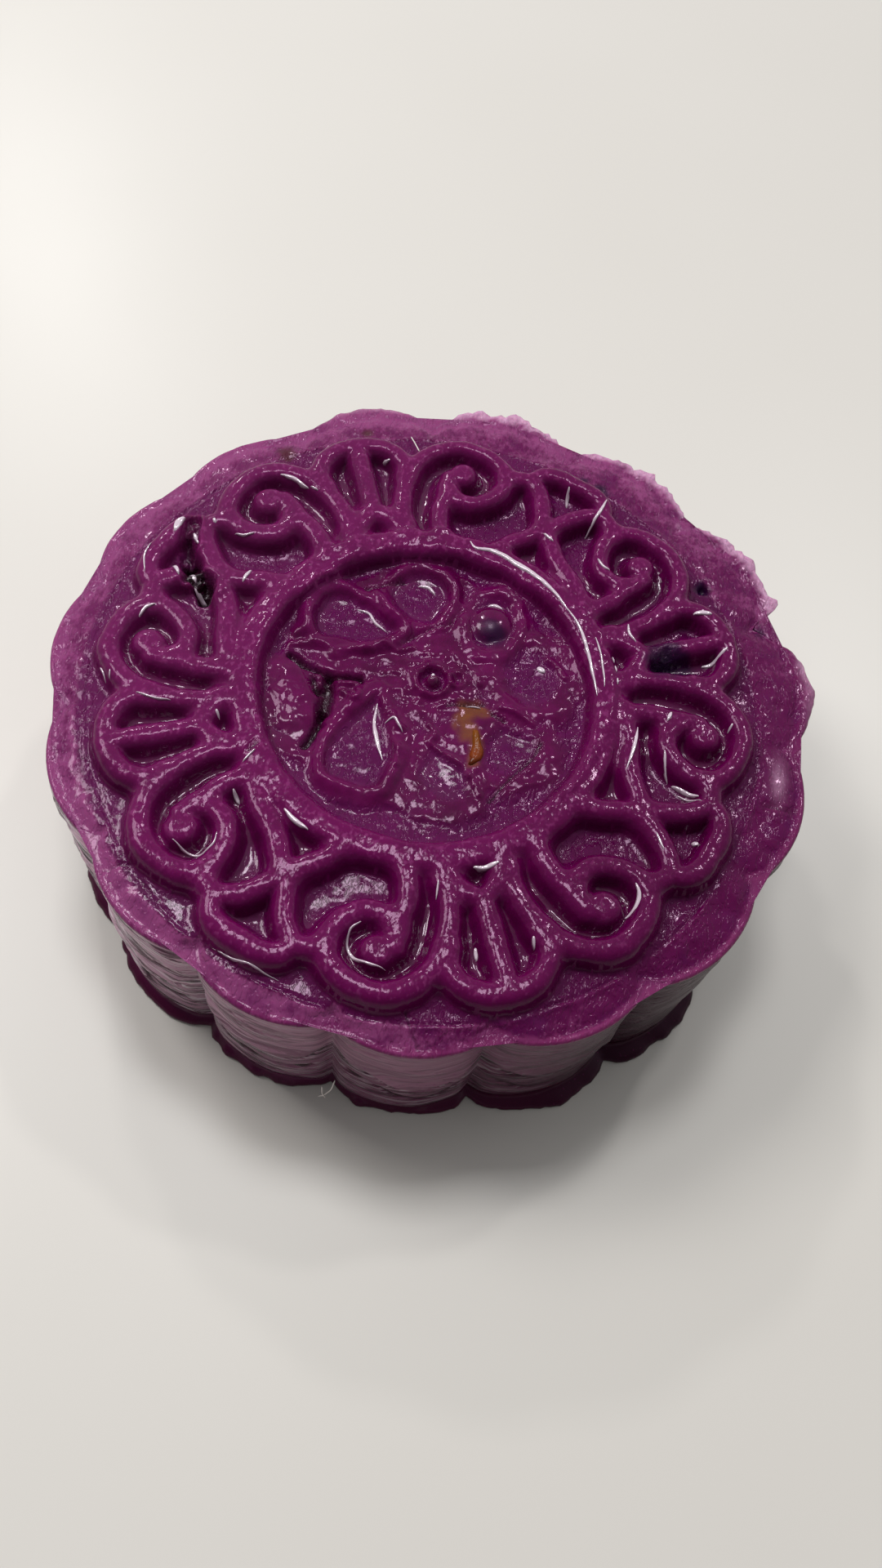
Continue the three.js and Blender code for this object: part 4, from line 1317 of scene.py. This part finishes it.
def film_finish(film):
    """A glossy film, as dark as the dough at its edge and painted pale toward its middle as a glint."""
    finish = Finish("wet_film", Specular_IOR_Level=0.9, Coat_Weight=1.0, Coat_Roughness=0.05)
    blot = finish.noise(0.8, 2, 0.5)
    core = finish.mask("core") + (blot - 0.5) * 0.5
    tone = finish.colour(core.ramp(0.0, 0.3), film.tone, film.tone_pale_and_glint)
    return finish.set(Base_Color=tone, Roughness=0.06 + blot * 0.05, Normal=finish.bump(blot, 0.02))


def fibre_finish(fibre):
    """A dull pale fibre."""
    finish = Finish("fibre", Specular_IOR_Level=0.5)
    tone = finish.colour(finish.noise(0.3, 2, 0.5), fibre.tone, fibre.tone_pale_and_glint)
    return finish.set(Base_Color=tone, Roughness=0.45 + finish.noise(0.3, 2, 0.5) * 0.1)


def floor_finish(stage):
    """The plain floor, with faint wide clouds."""
    finish = Finish("pale_board", Specular_IOR_Level=0.45)
    cloud = finish.noise(120.0, 3, 0.5)
    tone = finish.colour(cloud.ramp(0.3, 0.7) * 0.25, stage.floor, stage.floor_shade)
    return finish.set(Base_Color=tone, Roughness=0.3 + cloud * 0.1)


# ---- settings ----
def colour_property(name, description, red, green, blue):
    default = tint(red, green, blue)
    return FloatVectorProperty(
        name=name, description=description, default=default, subtype="COLOR", size=3, min=0, max=1
    )


def size_property(name, description, millimetres):
    return FloatProperty(name=name, description=description, default=millimetres * MM, unit="LENGTH")


def power_property(name, description, watts):
    return FloatProperty(name=name, description=description, default=watts, unit="POWER")


class CakeSettings(bpy.types.PropertyGroup):
    relief: size_property("Relief", "Height of the ridges over the ground", 1.9)
    unevenness: FloatProperty(
        name="Unevenness", description="How lumpy the pressed dough is", default=1.0, min=0, max=3
    )
    grain_depth: size_property("Grain depth", "Depth of the finest grain", 0.09)
    dough: colour_property("Dough", "The dough's main colour", 88, 3, 64)
    # The dough's darker tone, also used as painted shade toward the right and front right.
    deep: colour_property("Deep dough", "The dough where it is darker", 62, 0, 42)
    light: colour_property("Crests", "The dough on the ridges' crests", 106, 10, 80)
    # Painted highlights: the pale flecks along the crests.
    fleck_and_glint: colour_property("Crest flecks", "The paler flecks along the crests", 150, 66, 124)
    ground: colour_property("Ground", "The pressed ground between the ridges", 84, 8, 70)
    band: colour_property("Band", "The band between the pattern and the rim", 90, 8, 68)
    # The band's paler flecks and edge, also used as painted sheen on the front of the band and painted light
    # at the left.
    band_pale_and_light: colour_property("Pale band", "The band's paler flecks and its edge", 134, 60, 110)
    lip: colour_property("Lip", "The thin lip round the rim", 130, 52, 100)
    flash: colour_property("Flash", "The thin flash at the rim", 204, 156, 188)
    # The side's own duller tone, made paler and greyer as a painted reflection of the pale floor.
    side: colour_property("Side", "The dulled side wall", 118, 62, 92)
    # The side's darker layers, also used as painted shade at the right, in the creases and on the foot at the
    # right.
    side_dark_and_shade: colour_property("Side creases", "The side wall's darker layers", 40, 2, 22)
    # The side's threads, painted near white as highlights.
    side_pale_and_glint: colour_property("Side threads", "The side wall's palest threads", 240, 226, 234)
    # Painted light and reflection: the side wall's silvery paler layers at the left, where the light falls.
    gleam: colour_property("Side gleam", "The side wall's silvery layers at the left", 220, 176, 200)
    # The smooth sheets of the front lobes, painted paler as a reflection of the floor.
    sheet: colour_property("Side sheets", "The side wall's smooth pale parts", 150, 98, 126)
    under: colour_property("Lower side", "The side wall below its fold", 92, 34, 70)
    # The foot's dark tone is partly painted shade, as the foot lies in shadow.
    foot: colour_property("Foot", "The spread foot", 66, 10, 42)
    # The torn dough inside tears, also used as painted shade in cracks and holes.
    torn: colour_property("Torn dough", "Inside tears and cracks", 30, 5, 16)
    # Painted shade: dark spots in holes, at the bite in the rim and under the lump.
    stain: colour_property("Dark spots", "Darker spots in the dough", 22, 0, 36)
    brown: colour_property("Brown spots", "Browned spots in the dough", 70, 32, 34)
    soaked: colour_property("Soaked dough", "The dough where custard has soaked in", 120, 72, 26)


class CustardSettings(bpy.types.PropertyGroup):
    thickness: size_property("Thickness", "The smear's thickness at its middle", 0.32)
    pale: colour_property("Pale custard", "The wide end of the smear", 116, 62, 4)
    amber: colour_property("Amber custard", "The narrow end of the smear", 116, 46, 0)
    brown: colour_property("Brown tip", "The dried tip of the smear", 60, 16, 0)


class FilmSettings(bpy.types.PropertyGroup):
    thickness: size_property("Thickness", "A film's thickness at its middle", 0.16)
    tone: colour_property("Film edge", "The wet dough at a film's edge", 92, 16, 70)
    # Painted glints: the pale middle of a film stands in for the light it reflects.
    tone_pale_and_glint: colour_property("Film", "The pale liquid of a film", 206, 186, 200)


class FibreSettings(bpy.types.PropertyGroup):
    width: size_property("Width", "A fibre's width", 0.12)
    tone: colour_property("Fibre", "A fibre's colour", 196, 186, 180)
    tone_pale_and_glint: colour_property("Pale fibre", "A fibre's palest parts", 226, 220, 216)


class StageSettings(bpy.types.PropertyGroup):
    key: power_property("Key light", "Power of the main lamp at the left", 0.78)
    sheen: power_property("Sheen light", "Power of the soft lamp the top mirrors", 2.6)
    spark: power_property("Spark lights", "Power of each small bright lamp", 1.0)
    fill: FloatProperty(name="Fill", description="Strength of the light from all round", default=0.62)
    floor: colour_property("Floor", "The pale floor", 214, 210, 204)
    floor_shade: colour_property("Floor shade", "The floor's slightly darker clouds", 198, 192, 184)


# ---- pieces ----
made = {}


def top_of(context):
    """The form of the top, worked out once for each relief and unevenness."""
    cake = context.scene.mooncake_cake
    sizes = (cake.relief / MM, cake.unevenness)
    if sizes not in made:
        made[sizes] = Top(*sizes)
    return made[sizes]


class MakeDough(bpy.types.Operator):
    """Makes the cake's skin of dough with its pattern, lobed side, flash and foot"""

    bl_idname = "mooncake.dough"
    bl_label = "Dough"

    def execute(self, context):
        cake = context.scene.mooncake_cake
        vertices, faces, masks = dough_skin(top_of(context))
        piece = make_piece("dough", vertices, faces, dough_finish(cake), masks)
        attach(piece, "root")
        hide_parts("mooncake")
        return {"FINISHED"}


class MakeCustard(bpy.types.Operator):
    """Makes the small smear of custard on the flower"""

    bl_idname = "mooncake.custard"
    bl_label = "Custard smear"

    def execute(self, context):
        custard = context.scene.mooncake_custard
        thickness = custard.thickness / MM
        points, faces, along, _ = blanket(top_of(context), SMEAR_PATH, SMEAR_HALVES, thickness, 14, 0, 2.4)
        piece = make_piece("custard_smear", points, faces, custard_finish(custard), {"along": along})
        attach(piece, "root")
        return {"FINISHED"}


class MakeFilms(bpy.types.Operator):
    """Makes the liquid in the grooves, painted pale along its middle as glints"""

    bl_idname = "mooncake.films"
    bl_label = "Wet films"

    def execute(self, context):
        film = context.scene.mooncake_film
        parts, cores = [], []
        for number, (path, half) in enumerate(GLINTS):
            halves = [share * half for share in FILM_HALVES]
            thickness = film.thickness / MM
            points, faces, _, core = blanket(top_of(context), path, halves, thickness, 9, number)
            parts.append((points, faces))
            cores.append(core)
        points, faces = join_parts(parts)
        piece = make_piece("wet_films", points, faces, film_finish(film), {"core": np.concatenate(cores)})
        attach(piece, "root")
        return {"FINISHED"}


def fibre(points, width):
    """A fine bent hair with rounded ends, as rings round its path."""
    path = np.array(points, float)
    steps = np.linspace(0, len(path) - 1, FIBRE_RINGS)
    path = np.array([np.interp(steps, np.arange(len(path)), path[:, k]) for k in range(3)]).T
    for _ in range(4):
        path[1:-1] = (path[:-2] + path[1:-1] + path[2:]) / 3
    ahead = np.gradient(path, axis=0)
    ahead /= np.linalg.norm(ahead, axis=1)[:, None]
    side = np.cross(ahead, (0, 0, 1))
    side /= np.linalg.norm(side, axis=1)[:, None]
    up = np.cross(side, ahead)
    along = np.linspace(0, 1, len(path))
    thick = 0.5 * width * np.clip(np.minimum(along, 1 - along) / 0.1, 0.08, 1) ** 0.5
    turns = 2 * math.pi * np.arange(FIBRE_SIDES) / FIBRE_SIDES
    rings = path[:, None] + thick[:, None, None] * (
        np.cos(turns)[None, :, None] * side[:, None] + np.sin(turns)[None, :, None] * up[:, None]
    )
    points = np.concatenate([rings.reshape(-1, 3), path[:1], path[-1:]])
    index = np.arange(len(path) * FIBRE_SIDES).reshape(len(path), FIBRE_SIDES)
    beside = np.roll(index, -1, axis=1)
    faces = [
        np.stack([index[:-1].ravel(), beside[:-1].ravel(), beside[1:].ravel()], 1),
        np.stack([index[:-1].ravel(), beside[1:].ravel(), index[1:].ravel()], 1),
        np.stack([0 * index[0] + len(points) - 2, beside[0], index[0]], 1),
        np.stack([0 * index[0] + len(points) - 1, index[-1], beside[-1]], 1),
    ]
    return points, np.concatenate(faces)


class MakeFibres(bpy.types.Operator):
    """Makes the fine fibres that cling to the rim and the side"""

    bl_idname = "mooncake.fibres"
    bl_label = "Fibres"

    def execute(self, context):
        settings = context.scene.mooncake_fibre
        points, faces = join_parts([fibre(strand, settings.width / MM) for strand in STRANDS])
        piece = make_piece("fibres", points, faces, fibre_finish(settings))
        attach(piece, "root")
        return {"FINISHED"}


# Half the floor's width in millimetres, and how far under the cake it lies in metres.
FLOOR_HALF = 3000.0
FLOOR_DROP = 0.00002
# Each lamp: its name, its setting for power, its place and width in metres, and its colour.
LAMPS = (
    ("key", "key", (-0.24, 0.1, 0.36), 0.14, (1.0, 0.99, 0.975)),
    ("sheen", "sheen", (-0.085, 0.29, 0.95), 0.2, (0.98, 0.99, 1.0)),
    ("spark_0", "spark", (0.26, 0.52, 0.8), 0.06, (1.0, 0.99, 0.98)),
    ("spark_1", "spark", (-0.34, 0.66, 0.6), 0.06, (1.0, 0.99, 0.98)),
)
CAMERA_PLACE = (2.27, -64.44, 118.55)
CAMERA_DOWN = 1.05874
CAMERA_ROLL = 0.18057
CAMERA_LENS = 31.9
CAMERA_SENSOR = 36


def area_lamp(scene, name, power, place, width, colour):
    """A square lamp turned toward the origin."""
    light = bpy.data.lights.new(name, "AREA")
    light.shape = "SQUARE"
    light.size = width
    light.energy = power
    light.color = colour
    lamp = bpy.data.objects.new(name, light)
    lamp.location = place
    lamp.rotation_euler = (-Vector(place)).to_track_quat("-Z", "Y").to_euler()
    scene.collection.objects.link(lamp)


def soft_room(fill):
    """Light from all round, weaker from the front where whoever looks at the cake stands."""
    world = bpy.data.worlds.new("soft_room")
    world.use_nodes = True
    tree = world.node_tree
    background = tree.nodes["Background"]
    background.inputs["Color"].default_value = (0.93, 0.94, 0.95, 1)
    coordinates = tree.nodes.new("ShaderNodeTexCoord")
    parts = tree.nodes.new("ShaderNodeSeparateXYZ")
    fade = tree.nodes.new("ShaderNodeMapRange")
    limits = {"From Min": -0.6, "From Max": 0.4, "To Min": 0.3 * fill, "To Max": fill}
    for socket, value in limits.items():
        fade.inputs[socket].default_value = value
    tree.links.new(coordinates.outputs["Generated"], parts.inputs[0])
    tree.links.new(parts.outputs["Y"], fade.inputs["Value"])
    tree.links.new(fade.outputs["Result"], background.inputs["Strength"])
    return world


def make_camera():
    """The camera, which looks down on the cake and is slightly rolled."""
    cos_roll, sin_roll = math.cos(CAMERA_ROLL), math.sin(CAMERA_ROLL)
    cos_down, sin_down = math.cos(CAMERA_DOWN), math.sin(CAMERA_DOWN)
    right = Vector((cos_roll, sin_roll * sin_down, sin_roll * cos_down))
    down = Vector((sin_roll, -cos_roll * sin_down, -cos_roll * cos_down))
    ahead = Vector((0, cos_down, -sin_down))
    turn = Matrix((right, -down, -ahead)).transposed()
    lens = bpy.data.cameras.new("camera")
    lens.lens = CAMERA_LENS
    lens.sensor_width = CAMERA_SENSOR
    lens.clip_start = 0.005
    lens.clip_end = 50
    camera = bpy.data.objects.new("camera", lens)
    camera.matrix_world = Matrix.Translation(Vector(CAMERA_PLACE) * MM) @ turn.to_4x4()
    return camera


class MakeStage(bpy.types.Operator):
    """Makes the pale floor, the soft light and the camera"""

    bl_idname = "mooncake.stage"
    bl_label = "Stage"

    def execute(self, context):
        stage = context.scene.mooncake_stage
        corners = ((-1, -1), (1, -1), (1, 1), (-1, 1))
        points = [(x * FLOOR_HALF, y * FLOOR_HALF, 0) for x, y in corners]
        floor = make_piece("floor", points, [(0, 1, 2, 3)], floor_finish(stage))
        floor.location.z = -FLOOR_DROP
        for name, setting, place, width, colour in LAMPS:
            area_lamp(context.scene, name, getattr(stage, setting), place, width, colour)
        context.scene.world = soft_room(stage.fill)
        context.scene.view_settings.view_transform = "Standard"
        camera = make_camera()
        context.scene.collection.objects.link(camera)
        bpy.context.scene.camera = camera
        return {"FINISHED"}


class MooncakePanel(bpy.types.Panel):
    """Lists the pieces of the mooncake and their settings"""

    bl_label = "Mooncake"
    bl_idname = "VIEW3D_PT_mooncake"
    bl_space_type = "VIEW_3D"
    bl_region_type = "UI"
    bl_category = "Mooncake"

    def draw(self, context):
        for operator, settings, _ in STEPS:
            box = self.layout.box()
            box.operator(operator.bl_idname)
            group = getattr(context.scene, settings)
            for name in group.__annotations__:
                box.prop(group, name)


# Each step: its operator, the name of its settings on the scene, and their group.
STEPS = (
    (MakeDough, "mooncake_cake", CakeSettings),
    (MakeCustard, "mooncake_custard", CustardSettings),
    (MakeFilms, "mooncake_film", FilmSettings),
    (MakeFibres, "mooncake_fibre", FibreSettings),
    (MakeStage, "mooncake_stage", StageSettings),
)


def register():
    for operator, settings, group in STEPS:
        bpy.utils.register_class(group)
        setattr(bpy.types.Scene, settings, PointerProperty(type=group))
        bpy.utils.register_class(operator)
    bpy.utils.register_class(MooncakePanel)


def unregister():
    bpy.utils.unregister_class(MooncakePanel)
    for operator, settings, group in reversed(STEPS):
        bpy.utils.unregister_class(operator)
        delattr(bpy.types.Scene, settings)
        bpy.utils.unregister_class(group)


def main():
    register()
    bpy.ops.mooncake.dough()
    bpy.ops.mooncake.custard()
    bpy.ops.mooncake.films()
    bpy.ops.mooncake.fibres()
    bpy.ops.mooncake.stage()


if __name__ == "__main__":
    main()
